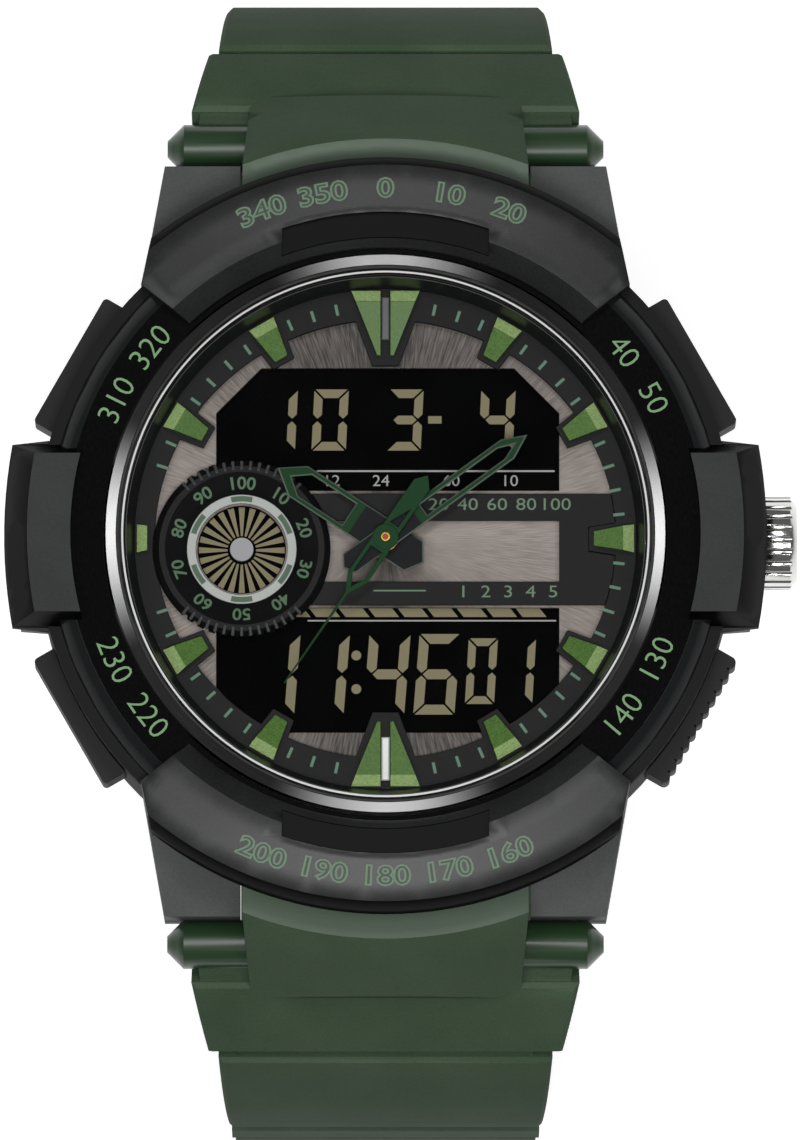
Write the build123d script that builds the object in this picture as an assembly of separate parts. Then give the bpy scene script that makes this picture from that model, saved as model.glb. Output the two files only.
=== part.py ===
"""Ana-digi sports wristwatch with a resin strap, one STEP file per separate piece.

Millimetres. +Z is the way the dial faces, +Y points to 12 o'clock and +X to the crown at 3.
The origin is the centre of the case back's outer face, on the axis of the hands.
The strap is open and still curved: the long half lies under the watch and carries it.
"""
import math
import os

from build123d import *

os.makedirs("parts", exist_ok=True)

# General
spare = 1.0                 # how far a cutter runs past the face it cuts
slide_gap = 0.05            # radial gap of a shaft in its hole
seat_gap = 0.02             # gap of a piece that is set in its seat and stays there
moulding_gap = 0.15         # gap beside a moulded piece that swings
MIN_Z = (Align.CENTER, Align.CENTER, Align.MIN)

# Heights, counted from the outer face of the case back
back_thickness = 1.2
case_bottom = back_thickness
buzzer_thickness = 0.3
battery_bottom = 1.95
battery_thickness = 1.6
clip_thickness = 0.2
board_bottom = 3.8
board_thickness = 0.6
main_plate_bottom = 4.5
main_plate_thickness = 0.6
second_wheel_bottom = 5.25
cannon_wheel_bottom = 5.7
hour_wheel_bottom = 6.4
wheel_thickness = 0.45
backlight_bottom = 7.35
backlight_thickness = 0.3
lcd_bottom = backlight_bottom + backlight_thickness
lcd_thickness = 1.3
dial_bottom = 9.0
dial_thickness = 0.5
dial_top = dial_bottom + dial_thickness
chapter_top = 10.3
bracket_top = 10.1
shelf_z = 11.2              # top of the case beside the ring, under the four guards
ring_seat_z = 12.0          # where the gloss ring stands
crystal_seat_z = 12.7       # where the crystal's gasket and its metal ring stand
rim_z = 12.9
crystal_bottom = 13.0
ring_top = 14.2
crystal_top = 14.5
metal_ring_top = 14.8
guard_top = 15.8
side_axis_z = 6.5           # height of the pushers' axes
crown_axis_z = 6.7

# Radii of the round pieces, from the outside of the case inwards
case_radius = 23.3
rim_width = 0.8             # of the case beside the gloss ring
gloss_ring_width = 3.7
gloss_bevel_width = 1.1
metal_ring_width = 0.83
metal_ring_edge = 0.15
gasket_width = 0.17         # of the gasket's wall beside the crystal
crystal_overlap = 0.4       # how far the crystal reaches over its seat
flange_width = 0.65
module_gap = 0.5            # between the module and the case
glass_inset = 0.6           # of the display glass in the module
gloss_ring_outer = case_radius - rim_width
gloss_bevel_radius = gloss_ring_outer - gloss_bevel_width
gloss_ring_inner = gloss_ring_outer - gloss_ring_width
metal_ring_inner = gloss_ring_inner - metal_ring_width
crystal_radius = metal_ring_inner - gasket_width
cavity_radius = crystal_radius - crystal_overlap
flange_inner_radius = cavity_radius - flange_width
frame_radius = cavity_radius - module_gap
window_edge_radius = frame_radius - glass_inset

# Four guards that cover the edge of the case
guard_overhang = 1.9        # past the round side of the case
guard_edge_width = 0.55
guard_fall = 0.45           # of a guard's top, from its chamfer out to its edge
guard_inner_step = 0.4      # of the gloss ring that stays bare inside the guards
guard_chamfer_width = 1.4
guard_outer_radius = case_radius + guard_overhang
guard_flat_radius = guard_outer_radius - guard_edge_width
guard_inner_radius = gloss_ring_inner + guard_inner_step
guard_chamfer_radius = guard_inner_radius + guard_chamfer_width
guard_inner_edge_z = 14.75
guard_outer_edge_z = 14.6
guard_end_shares = [(0.5266, 0.5651), (0.6468, 0.6587), (0.6210, 0.7817)]
guard_recess_half_width = 6.9
guard_recess_edge = 0.55    # left between the recess and the inner edge
guard_recess_width = 1.7
guard_recess_inner = guard_inner_radius + guard_recess_edge
guard_recess_outer = guard_recess_inner + guard_recess_width
guard_recess_depth = 0.6
side_guard_lap = 0.4        # over the flat of the gloss ring
side_guard_inner_radius = gloss_bevel_radius - side_guard_lap
side_guard_taper = 0.55
side_guard_half_inner = 6.65
side_guard_half_outer = side_guard_half_inner - side_guard_taper
side_guard_corner_inset = 0.3
side_guard_bow = 0.55
side_guard_facet_width = 1.5
side_guard_facet_bow = 0.5
side_guard_facet_side = 0.8
side_guard_corner_x = guard_outer_radius - side_guard_corner_inset
side_guard_middle_x = side_guard_corner_x + side_guard_bow
side_guard_facet_corner_x = side_guard_corner_x - side_guard_facet_width
side_guard_facet_middle_x = side_guard_facet_corner_x + side_guard_facet_bow
side_guard_facet_half = side_guard_half_outer - side_guard_facet_side
side_guard_edge_z = 12.6
guard_post_radius = 0.8
guard_post_length = 2.0
guard_post_inset = 1.04     # from the outside of a guard to the post's axis
guard_post_angle = 33.7     # from 12 o'clock
side_guard_post_inset = 0.3
side_guard_post_y = 3.6

# Lug ends and the joint of the strap
lug_half_width = 14.76
lug_overhang = 1.85         # past the round side of the case
lug_end_y = case_radius + lug_overhang
lug_root_angle = 45.8       # from 3 o'clock, where a lug end leaves the round case
lug_root_half_width = case_radius * math.cos(math.radians(lug_root_angle))
lug_root_y = case_radius * math.sin(math.radians(lug_root_angle))
lug_bottom = 1.8
lug_lip_z = 8.6
lug_fall_run = 6.5           # of the sloping top, back from the lug's end
lug_shoulder_inset = 1.5
lug_shoulder_y = case_radius - lug_shoulder_inset
hinge_stand = 1.55          # axis of the spring bar outside the lug ends
hinge_y = lug_end_y + hinge_stand
hinge_z = 4.2
barrel_radius = 1.65
barrel_half_length = 14.6
barrel_chamfer = 1.1
tab_inner_x = 10.5          # the two tabs of the case that hold one spring bar
tab_outer_x = 12.5
tab_radius = 1.2
tab_web_drop = 0.4          # top of a tab's web below the axis
spring_bar_radius = 0.75
spring_tip_radius = 0.45
block_half_width = 9.55     # block of the strap between the lug ends
block_end_half_width = 9.0
block_case_gap = 1.6        # between the round case and the block's upper edge
block_crest_run = 1.9
block_fall_run = 3.45
block_inner_radius = case_radius + block_case_gap
block_crest_radius = block_inner_radius + block_crest_run
block_end_y = block_crest_radius + block_fall_run
block_inner_z = 10.4
block_crest_z = 10.9
block_end_z = 5.3
block_corner_radius = 0.5
pocket_inset = 1.8          # room for the block when the strap swings out
pocket_radius = case_radius - pocket_inset
pocket_ceiling = 10.95

# Side of the case under the guards at 9 and 3
side_block_bottom = 2.4
side_block_inset = 0.5

# Pushers
pusher_angle = 29.9         # from the line through 3 and 9
pusher_stand = 1.1          # outer face outside the round side of the case
pusher_face = case_radius + pusher_stand
pusher_half_length = 4.8
pusher_half_height = 2.3
pusher_travel = 0.9
pusher_depth = 2.25         # from the outer face to the shoulder
pusher_corner = 0.3
pusher_stem_radius = 0.6
pusher_pocket_floor = pusher_face - pusher_depth - pusher_travel - moulding_gap
spring_room = 1.5           # below the pocket's floor
spring_bore_floor = pusher_pocket_floor - spring_room
spring_bore_radius = 1.35
spring_wire_radius = 0.14
spring_coil_radius = 1.0
spring_turns = 4
seal_inset = 0.95           # of an O-ring in the wall of the case
seal_place = cavity_radius + seal_inset
seal_wire_radius = 0.3
clip_reach = 0.35           # of a clip inside the wall of the case
clip_place = cavity_radius - clip_reach
clip_radius = 1.1
stem_groove_depth = 0.2
knurl_count = 11
knurl_radius = 0.4

# Crown
crown_radius = 3.1
crown_gap = 0.25
crown_length = 2.3
crown_inner_x = side_guard_middle_x - side_block_inset + crown_gap
crown_outer_x = crown_inner_x + crown_length
crown_edge = 0.45
crown_flutes = 24
crown_flute_radius = 0.22
crown_bore_radius = 1.75
crown_bore_depth = 1.5
crown_stem_radius = 0.6
crown_tube_radius = 1.35
crown_tube_reach = 1.2
crown_seal_inset = 0.5
crown_tube_outer_x = crown_inner_x + crown_tube_reach
crown_seal_x = crown_inner_x + crown_seal_inset
lever_inset = 5.2           # of the setting lever inside the case's bore
stem_end = 2.7              # of the stem past the lever
lever_x = cavity_radius - lever_inset
crown_stem_inner_x = lever_x - stem_end
lever_thickness = 0.4
lever_half_width = 1.7
lever_bottom = 5.3
lever_top = 7.2

# Case back and its fixings
back_inset = 2.1            # of the case back inside the round side of the case
back_line_inset = 4.6
back_radius = case_radius - back_inset
back_line_radius = back_radius - back_line_inset
back_edge = 0.35
back_gasket_inset = 0.7
back_gasket_radius = cavity_radius + back_gasket_inset
back_gasket_half_width = 0.4
back_gasket_height = 0.6
back_screw_inset = 1.4
back_screw_place = back_radius - back_screw_inset
back_screw_angle = 55.0
screw_head_radius = 1.1
screw_head_height = 0.7
screw_radius = 0.6
screw_length = 3.4
screw_slot_half_width = 0.15
screw_slot_depth = 0.3

# Dial
window_left_margin = 6.1    # from the bore of the case to the display windows
window_right_margin = 5.8
window_top_margin = 5.9
window_bottom_margin = 4.5
window_left = window_left_margin - cavity_radius
window_right = cavity_radius - window_right_margin
window_corner = 3.0         # cut corners of the two display windows
top_window_low = 3.3
top_window_high = cavity_radius - window_top_margin
bottom_window_low = window_bottom_margin - cavity_radius
bottom_window_high = -4.55
dial_hole_radius = 1.35
subdial_margin = 7.8        # from the bore of the case to the small dial's centre
subdial_x = subdial_margin - cavity_radius
subdial_y = -0.65
subdial_window_radius = 2.95
subdial_trim_inner = 3.06
subdial_trim_outer = 3.67
subdial_trim_height = 0.35
subdial_face_radius = 5.13
subdial_outer_radius = 5.93
subdial_top = 10.6
subdial_notches = 11
subdial_notch_step = 8.0    # degrees
subdial_notch_radius = 0.2
subdial_cap_radius = 0.78
subdial_cap_top = 9.75
chapter_width_x = 2.0       # of the chapter ring at 3 and at 12
chapter_width_y = 2.7
chapter_inner_x = cavity_radius - chapter_width_x
chapter_inner_y = cavity_radius - chapter_width_y
bracket_top_low = 1.25
bracket_top_high = 3.05
bracket_bottom_low = -4.4
bracket_bottom_high = -2.85

# Hour markers
hour_step = 30              # degrees
plain_hours = (1, 2, 3, 4, 5, 7, 8, 10, 11)
stub_hour = 9               # beside the small dial
marker_edge_gap = 0.8
marker_fall = 0.75          # from the outer edge to the ridge
marker_length = 2.7
marker_outer_radius = cavity_radius - marker_edge_gap
marker_ridge_radius = marker_outer_radius - marker_fall
marker_inner_radius = marker_outer_radius - marker_length
marker_outer_half = 0.95
marker_inner_half = 0.48
marker_outer_z = 10.75
marker_ridge_z = 11.3
marker_inner_z = 10.75
marker_pad_margin = 0.32
twin_length = 4.35
twin_inner_y = marker_outer_radius - twin_length
twin_gap_half = 0.32
twin_tip_half = 0.55
twin_outer_half = 2.3
stub_length = 0.7
stub_inner_radius = marker_outer_radius - stub_length

# Hands
hour_angle = 303.2          # clockwise from 12
minute_angle = 54.0
second_angle = 214.6
hand_thickness = 0.2
hour_hand_bottom = 10.9
minute_hand_bottom = 11.42
second_hand_bottom = 11.94
second_hand_thickness = 0.15
hour_length = 8.6
hour_half_width = 1.2
hour_foot = 2.25            # from the axis to the foot of the green frame
hour_tail = 3.05
minute_length = 11.7
minute_half_width = 0.78
minute_foot = 2.5
minute_tail = 3.5
hand_rim = 0.36             # width of a skeleton hand's rim
hand_foot_bar = 0.65        # solid bar between the foot and the opening
hand_point = 1.63           # from the tip back to the full width
hand_notch = 1.1            # left between the opening and the tip
hand_slope_share = 1.5      # of the rim, from the full width back to that of the opening
hand_tail_share = 0.68      # of the half width, height of the point on the tail
second_length = 11.9
second_half_width = 0.1
second_tip_half = 0.05
second_hub_radius = 0.87
second_rim = 0.28
second_frame_half = 0.75
second_frame_end = 3.3      # of the frame's straight sides
second_frame_tip = 4.6
second_tail_length = 5.0
second_tail_half = 0.62
second_tail_point = 0.72
second_opening_share = 0.49     # of the tail's length, end of its opening
arbor_radius = 0.25
cannon_inner_radius = arbor_radius + slide_gap
cannon_outer_radius = 0.5
hour_tube_inner_radius = cannon_outer_radius + slide_gap
hour_tube_outer_radius = 0.85

# Motion work under the dial: cannon wheel to minute wheel, minute pinion to hour wheel
tooth_module = 0.16
tooth_root_share = 1.1      # of the module, below the pitch circle
tooth_tip_share = 0.8       # of the module, above the pitch circle
tooth_half_shares = (0.24, 0.17, 0.07)      # of the pitch: at root, pitch circle and tip
cannon_teeth = 10
minute_wheel_teeth = 30
minute_pinion_teeth = 8
hour_wheel_teeth = 32
motion_centre = tooth_module * (cannon_teeth + minute_wheel_teeth) / 2
motion_angle = 120.0
post_radius = 0.3
second_wheel_radius = 2.8

# Module inside the case
frame_bottom = 2.0
frame_wall = 0.5
board_gap = 0.3
board_radius = frame_radius - frame_wall - board_gap
battery_radius = 10.0
battery_cap_share = 0.9
battery_rim_room = 4.9      # from the bore of the case to the battery, on the 6 o'clock side
battery_place = (0.0, battery_radius + battery_rim_room - cavity_radius)
battery_gap = 0.25
buzzer_radius = 8.0
backlight_inset = 1.0
backlight_radius = frame_radius - backlight_inset
connector_half_length = 6.5
connector_half_width = 0.6
connector_inset = 2.9
connector_y = board_radius - connector_inset
coil_radius = 0.95
coil_half_length = 3.6
core_half_length = 5.4
core_half_width = 1.4
core_thickness = 0.35
core_reach = core_half_length - coil_half_length
coil_inset = 5.45           # from the board's edge
coil_angles = [134.6, -44.2]
coil_turn = 35.0
chip_half = 2.6
chip_height = 0.5
chip_inset = 3.36
chip_angle = 42.5

# Strap: both halves hang on the same arc beside the case
arc_radius = 22.2           # middle of the band's thickness
arc_start = 55.1            # degrees, at the spring bar
arc_y = hinge_y - arc_radius * math.cos(math.radians(arc_start))
arc_z = hinge_z - arc_radius * math.sin(math.radians(arc_start))
band_thickness = 2.6
segment_lift = 0.45         # how far a segment stands out of the band on either face
segment_angles = [(49.9, 34.5), (32.9, 4.5)]
segment_halves = [(13.0, 11.85), (11.2, 10.5)]
short_segment_angles = [(2.9, -12.0), (-13.6, -27.0)]
short_segment_halves = [(10.45, 10.2), (10.15, 10.0)]
segment_edge = 0.3
band_root_half = 12.6
band_half_width = 9.9

# Long half of the strap
tail_drop = 18.0
tail_pad_length = 6.6
tail_pad_gap = 0.7
tail_pad_count = 2
tail_arc_radius = 25.0
tail_run = 35.0
tail_tip_half = 9.2
tail_hole_count = 9
tail_hole_pitch = 6.0
tail_hole_half_length = 1.9
tail_hole_radius = 1.05
tail_hole_first = 8.0       # from the tip

# Short half of the strap and its buckle
short_arc_end = -80.0
short_run = 12.0
buckle_bar_radius = 0.9
buckle_bar_half = 12.2
buckle_barrel_radius = 1.9
tongue_half_width = 1.1
tongue_slot_half = 1.4
tongue_slot_length = 3.6
tongue_thickness = 1.1
tongue_ring_radius = 1.55
tongue_reach = 11.1
frame_inner_half = 10.35
frame_outer_half = 12.6
frame_arm_half = 1.1
frame_arm_back = 1.7
frame_reach = 10.6
frame_cross = 2.0
frame_corner = 1.6
keeper_thickness = 1.3
keeper_half_width = 2.6
keeper_side_gap = 0.3
keeper_face_gap = 0.3
keeper_tail_room = 3.3
fixed_keeper_back = 6.2     # from the buckle bar
fixed_keeper_half_width = 1.9
sliding_keeper_angle = -52.0


def disc(radius, bottom, top, x=0, y=0):
    """Upright round plate or pin."""
    return Pos(x, y, bottom) * Cylinder(radius, top - bottom, align=MIN_Z)


def ring(inner, outer, bottom, top, x=0, y=0):
    """Upright round plate with a hole through it."""
    return disc(outer, bottom, top, x, y) - disc(inner, bottom - spare, top + spare, x, y)


def block(x_low, x_high, y_low, y_high, z_low, z_high):
    """Box between six faces."""
    box = Box(x_high - x_low, y_high - y_low, z_high - z_low, align=(Align.MIN,) * 3)
    return Pos(x_low, y_low, z_low) * box


def face_of(points):
    """Flat face with straight edges."""
    return make_face(Polyline(*points, close=True))


def prism(points, bottom, top):
    """Upright prism over an outline in X and Y."""
    return Pos(0, 0, bottom) * extrude(face_of(points), top - bottom)


def turned(points):
    """Solid turned about Z from an outline in radius and height."""
    return revolve(Plane.XZ * face_of(points), Axis.Z)


def side_prism(face, half_width):
    """Prism along X, to both sides, over a face drawn in Y and Z."""
    return extrude(Plane.YZ * face, half_width, both=True)


def rod_x(radius, x_low, x_high, y, z):
    """Round rod along X."""
    rod = Cylinder(radius, x_high - x_low, align=MIN_Z)
    return Pos(x_low, y, z) * Rot(0, 90, 0) * rod


def mirrored_pair(shape):
    """A shape and its mirror image on the other side of X = 0."""
    return shape + mirror(shape, Plane.YZ)


def half_turn(shape):
    """A shape and its copy after half a turn about Z."""
    return shape + Rot(0, 0, 180) * shape


def polar(radius, angle):
    """Point in X and Y at a radius and an angle in degrees from +X."""
    turn = math.radians(angle)
    return (radius * math.cos(turn), radius * math.sin(turn))


def compass(angle):
    """Place something drawn at 12 o'clock at an angle clockwise from there."""
    return Rot(0, 0, -angle)


def as_one(shapes):
    """Loose solids kept together in one file."""
    solids = []
    for shape in shapes:
        solids.extend(shape.solids())
    return Compound(children=solids)


# Case


def lug_end():
    """Lug end at 12 o'clock, before the pocket for the strap is cut."""
    outline = [
        (-lug_root_half_width, lug_root_y),
        (-lug_half_width, lug_end_y),
        (lug_half_width, lug_end_y),
        (lug_root_half_width, lug_root_y),
        (lug_half_width, 0),
        (-lug_half_width, 0),
    ]
    side = face_of([
        (0, lug_bottom),
        (lug_end_y, lug_bottom),
        (lug_end_y, lug_lip_z),
        (lug_end_y - lug_fall_run, shelf_z),
        (0, shelf_z),
    ])
    return prism(outline, lug_bottom, shelf_z) & side_prism(side, lug_root_half_width)


def strap_pocket():
    """Room between the lug ends for the block of the strap."""
    half = block_half_width + moulding_gap
    box = block(-half, half, 0, hinge_y + spare, 0, pocket_ceiling)
    deep = box - disc(pocket_radius, -spare, guard_top)
    through = block(-half, half, 0, hinge_y + spare, 0, guard_top)
    return deep + (through - disc(case_radius, -spare, guard_top + spare))


def lug_tab():
    """Tab on the +X side that holds one end of the spring bar."""
    pin = rod_x(tab_radius, tab_inner_x, tab_outer_x, hinge_y, hinge_z)
    web_low = hinge_z - tab_radius
    web_high = hinge_z - tab_web_drop
    web = block(tab_inner_x, tab_outer_x, lug_shoulder_y, hinge_y, web_low, web_high)
    hole_radius = spring_tip_radius + slide_gap
    hole = rod_x(hole_radius, tab_inner_x - spare, tab_outer_x + spare, hinge_y, hinge_z)
    return pin + web - hole


def side_outline(inset, inner_x):
    """Outline of the case side at 3 o'clock, set in from the guard by a margin."""
    low = Line((inner_x, -side_guard_half_inner + inset), (side_guard_corner_x - inset,
               -side_guard_half_outer + inset))
    bow = ThreePointArc(low @ 1, (side_guard_middle_x - inset, 0),
                        (side_guard_corner_x - inset, side_guard_half_outer - inset))
    high = Line(bow @ 1, (inner_x, side_guard_half_inner - inset))
    return make_face(low + bow + high + Line(high @ 1, low @ 0))


def side_block():
    """Side of the case at 3 o'clock."""
    outline = side_outline(side_block_inset, flange_inner_radius)
    return Pos(0, 0, side_block_bottom) * extrude(outline, shelf_z - side_block_bottom)


def pusher_cut():
    """Pocket, spring bore, stem bore and seal groove of one pusher, drawn along +X."""
    half_length = pusher_half_length + slide_gap
    half_height = pusher_half_height + slide_gap
    low = side_axis_z - half_height
    high = side_axis_z + half_height
    far = case_radius + pusher_half_length
    pocket = block(pusher_pocket_floor, far, -half_length, half_length, low, high)
    spring_bore = rod_x(spring_bore_radius, spring_bore_floor, far, 0, side_axis_z)
    stem_bore = rod_x(pusher_stem_radius + slide_gap, frame_radius, far, 0, side_axis_z)
    return pocket + spring_bore + stem_bore + seal_groove()


def seal_groove():
    """Groove for a pusher's O-ring, open to the stem's bore."""
    groove_radius = pusher_stem_radius + slide_gap + seal_wire_radius * 2 + seat_gap
    half = seal_wire_radius + seat_gap
    return rod_x(groove_radius, seal_place - half, seal_place + half, 0, side_axis_z)


def pusher_angles():
    """Angles of the four pushers from +X: two on the right, two on the left."""
    return [pusher_angle, -pusher_angle, 180 - pusher_angle, 180 + pusher_angle]


def screw_places():
    """Centres of the case back's four screws."""
    x, y = polar(back_screw_place, back_screw_angle)
    return [(x, y), (-x, y), (-x, -y), (x, -y)]


def guard_post_places():
    """Centres of the posts under the four guards."""
    places = []
    for x, y in (end_guard_post(), side_guard_post()):
        places += [(x, y), (-x, y), (x, -y), (-x, -y)]
    return places


def end_guard_post():
    """Centre of the post on the +X side under the guard at 12 o'clock."""
    return polar(guard_outer_radius - guard_post_inset, 90 - guard_post_angle)


def side_guard_post():
    """Centre of the upper post under the guard at 3 o'clock."""
    return (case_radius - side_guard_post_inset, side_guard_post_y)


def make_mid_case():
    case = disc(case_radius, case_bottom, rim_z)
    case += half_turn(lug_end())
    case += half_turn(side_block())
    case -= disc(cavity_radius, 0, guard_top)
    case -= disc(gloss_ring_inner, crystal_seat_z, guard_top)
    case -= ring(gloss_ring_inner - seat_gap, gloss_ring_outer + seat_gap, ring_seat_z, guard_top)
    case -= half_turn(strap_pocket())
    seat_radius = barrel_radius + moulding_gap
    barrel_seat = rod_x(seat_radius, -lug_root_half_width, lug_root_half_width, hinge_y, hinge_z)
    case -= half_turn(barrel_seat)
    case += half_turn(mirrored_pair(lug_tab()))
    for angle in pusher_angles():
        case -= Rot(0, 0, angle) * pusher_cut()
    tube_hole = crown_tube_radius + seat_gap
    case -= rod_x(tube_hole, frame_radius, crown_inner_x, 0, crown_axis_z)
    groove_low = back_gasket_radius - back_gasket_half_width - seat_gap
    groove_high = back_gasket_radius + back_gasket_half_width + seat_gap
    case -= ring(groove_low, groove_high, 0, case_bottom + back_gasket_height)
    thread_depth = screw_length - (back_thickness - screw_head_height) + seat_gap
    for x, y in screw_places():
        case -= disc(screw_radius + seat_gap, 0, case_bottom + thread_depth, x, y)
    for x, y in guard_post_places():
        depth = guard_post_length + moulding_gap
        case -= disc(guard_post_radius + seat_gap, shelf_z - depth, guard_top, x, y)
    return case


def make_case_back():
    plate = turned([
        (0, 0),
        (back_radius - back_edge, 0),
        (back_radius, back_edge),
        (back_radius, back_thickness),
        (0, back_thickness),
    ])
    line = back_edge / 2
    plate -= ring(back_line_radius - line, back_line_radius + line, -spare, line)
    for x, y in screw_places():
        plate -= disc(screw_radius + slide_gap, -spare, back_thickness + spare, x, y)
        plate -= disc(screw_head_radius + slide_gap, -spare, screw_head_height, x, y)
    return plate


def make_case_back_screws():
    screws = []
    for x, y in screw_places():
        head = disc(screw_head_radius, 0, screw_head_height, x, y)
        shank = disc(screw_radius, 0, screw_length, x, y)
        slot = block(x - screw_head_radius, x + screw_head_radius,
                     y - screw_slot_half_width, y + screw_slot_half_width, 0, screw_slot_depth)
        screws.append(head + shank - slot)
    return as_one(screws)


def make_case_back_gasket():
    inner = back_gasket_radius - back_gasket_half_width
    outer = back_gasket_radius + back_gasket_half_width
    return ring(inner, outer, case_bottom, case_bottom + back_gasket_height - seat_gap)


# Rings and guards round the crystal


def make_gloss_ring():
    return turned([
        (gloss_ring_inner, ring_seat_z),
        (gloss_ring_outer, ring_seat_z),
        (gloss_ring_outer, rim_z + moulding_gap),
        (gloss_bevel_radius, ring_top),
        (gloss_ring_inner, ring_top),
    ])


def make_crystal_ring():
    return turned([
        (metal_ring_inner, crystal_seat_z),
        (gloss_ring_inner - seat_gap, crystal_seat_z),
        (gloss_ring_inner - seat_gap, metal_ring_top - metal_ring_edge),
        (gloss_ring_inner - metal_ring_edge, metal_ring_top),
        (metal_ring_inner + seat_gap, metal_ring_top),
        (metal_ring_inner, metal_ring_top - seat_gap),
    ])


def make_crystal_gasket():
    inner = cavity_radius + slide_gap
    return turned([
        (inner, crystal_seat_z),
        (metal_ring_inner, crystal_seat_z),
        (metal_ring_inner, crystal_top - moulding_gap),
        (crystal_radius, crystal_top - moulding_gap),
        (crystal_radius, crystal_bottom),
        (inner, crystal_bottom),
    ])


def make_crystal():
    bevel = crystal_radius - cavity_radius
    return turned([
        (0, crystal_bottom),
        (crystal_radius, crystal_bottom),
        (crystal_radius, crystal_top - bevel / 2),
        (crystal_radius - bevel, crystal_top),
        (0, crystal_top),
    ])


def guard_section(inner, chamfer_radius):
    """Cross-section of a guard in radius and height."""
    over_ring = ring_top + seat_gap
    return [
        (inner, over_ring),
        (inner, guard_inner_edge_z),
        (chamfer_radius, guard_top),
        (guard_flat_radius, guard_top - guard_fall),
        (guard_outer_radius, guard_outer_edge_z),
        (guard_outer_radius, shelf_z),
        (case_radius + seat_gap, shelf_z),
        (case_radius + seat_gap, rim_z + seat_gap),
        (gloss_ring_outer + seat_gap, rim_z + seat_gap),
        (gloss_ring_outer + seat_gap, over_ring),
    ]


def guard_post(x, y):
    """Post under a guard, up into its solid part above the case's rim."""
    return disc(guard_post_radius, shelf_z - guard_post_length, ring_top, x, y)


def make_end_guard():
    """Guard at 12 o'clock."""
    tip, shoulder, corner = [(x * guard_outer_radius, y * guard_outer_radius)
                             for x, y in guard_end_shares]
    right = [(0, 0), tip, shoulder, corner, (corner[0], guard_outer_radius + spare)]
    left = [(-x, y) for x, y in reversed(right[1:])]
    guard = turned(guard_section(guard_inner_radius, guard_chamfer_radius))
    guard &= prism(right + left, 0, guard_top + spare)
    recess = ring(guard_recess_inner, guard_recess_outer, guard_top - guard_recess_depth,
                  guard_top + spare)
    recess &= block(-guard_recess_half_width, guard_recess_half_width, 0, guard_outer_radius,
                    0, guard_top + spare)
    guard -= recess
    x, y = end_guard_post()
    return guard + guard_post(x, y) + guard_post(-x, y)


def make_side_guard():
    """Guard at 3 o'clock: a raised plate with a bowed outer face."""
    low = side_outline(0, side_guard_inner_radius - spare)
    guard = Pos(0, 0, shelf_z) * extrude(low, guard_top - shelf_z)
    guard -= disc(side_guard_inner_radius, 0, guard_top + spare)
    guard -= disc(gloss_ring_outer + seat_gap, 0, ring_top + seat_gap)
    guard -= disc(case_radius + seat_gap, 0, rim_z + seat_gap)
    x, y = side_guard_post()
    guard += guard_post(x, y) + guard_post(x, -y)
    return guard & side_guard_roof()


def side_guard_roof():
    """Everything under the sloping outer facets of a side guard."""
    foot = extrude(side_outline(-spare, 0), side_guard_edge_z)
    inner_low = Line((0, -side_guard_facet_half), (side_guard_facet_corner_x,
                     -side_guard_facet_half))
    bow = ThreePointArc(inner_low @ 1, (side_guard_facet_middle_x, 0),
                        (side_guard_facet_corner_x, side_guard_facet_half))
    high = Line(bow @ 1, (0, side_guard_facet_half))
    top = make_face(inner_low + bow + high + Line(high @ 1, inner_low @ 0))
    bottom = side_outline(0, 0)
    slope = loft([Pos(0, 0, side_guard_edge_z) * bottom, Pos(0, 0, guard_top) * top])
    return foot + slope


# Pushers and crown


def make_pusher(toothed=False):
    """Pusher drawn along +X, with its stem."""
    shoulder = pusher_face - pusher_depth
    outside = pusher_face - knurl_radius if toothed else pusher_face
    cap = block(shoulder, outside, -pusher_half_length, pusher_half_length,
                side_axis_z - pusher_half_height, side_axis_z + pusher_half_height)
    if not toothed:
        cap = fillet(cap.edges().filter_by(Axis.Z).group_by(Axis.X)[-1], pusher_corner)
    else:
        cap += knurls()
    inner_end = clip_place - clip_thickness * 2
    stem = rod_x(pusher_stem_radius, inner_end, shoulder + spare, 0, side_axis_z)
    groove = rod_x(pusher_stem_radius + spare, clip_place - clip_thickness / 2 - seat_gap,
                   clip_place + clip_thickness / 2 + seat_gap, 0, side_axis_z)
    core = rod_x(pusher_stem_radius - stem_groove_depth, 0, case_radius, 0, side_axis_z)
    return cap + (stem - (groove - core))


def knurls():
    """Row of upright rounded teeth on the outer face of a pusher."""
    row = []
    pitch = 2 * (pusher_half_length - knurl_radius) / (knurl_count - 1)
    for index in range(knurl_count):
        y = -pusher_half_length + knurl_radius + pitch * index
        row.append(disc(knurl_radius, side_axis_z - pusher_half_height,
                        side_axis_z + pusher_half_height, pusher_face - knurl_radius, y))
    return Compound(children=row)


def make_pusher_clip():
    """Clip on the inner end of a pusher's stem, open downwards."""
    half = clip_thickness / 2
    hole = pusher_stem_radius - stem_groove_depth + seat_gap
    clip = rod_x(clip_radius, clip_place - half, clip_place + half, 0, side_axis_z)
    clip -= rod_x(hole, clip_place - spare, clip_place + spare, 0, side_axis_z)
    return clip - block(0, case_radius, -hole, hole, 0, side_axis_z)


def make_pusher_spring():
    """Return spring of a pusher at rest, between the bore's floor and the pusher."""
    end_gap = spring_wire_radius + seat_gap
    start = spring_bore_floor + end_gap
    length = pusher_face - pusher_depth - spring_bore_floor - 2 * end_gap
    path = Helix(length / spring_turns, length, spring_coil_radius)
    section = Plane(path @ 0, z_dir=path % 0) * Circle(spring_wire_radius)
    coil = sweep(section, path=path, is_frenet=True)
    return Pos(start, 0, side_axis_z) * Rot(0, 90, 0) * coil


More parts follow.
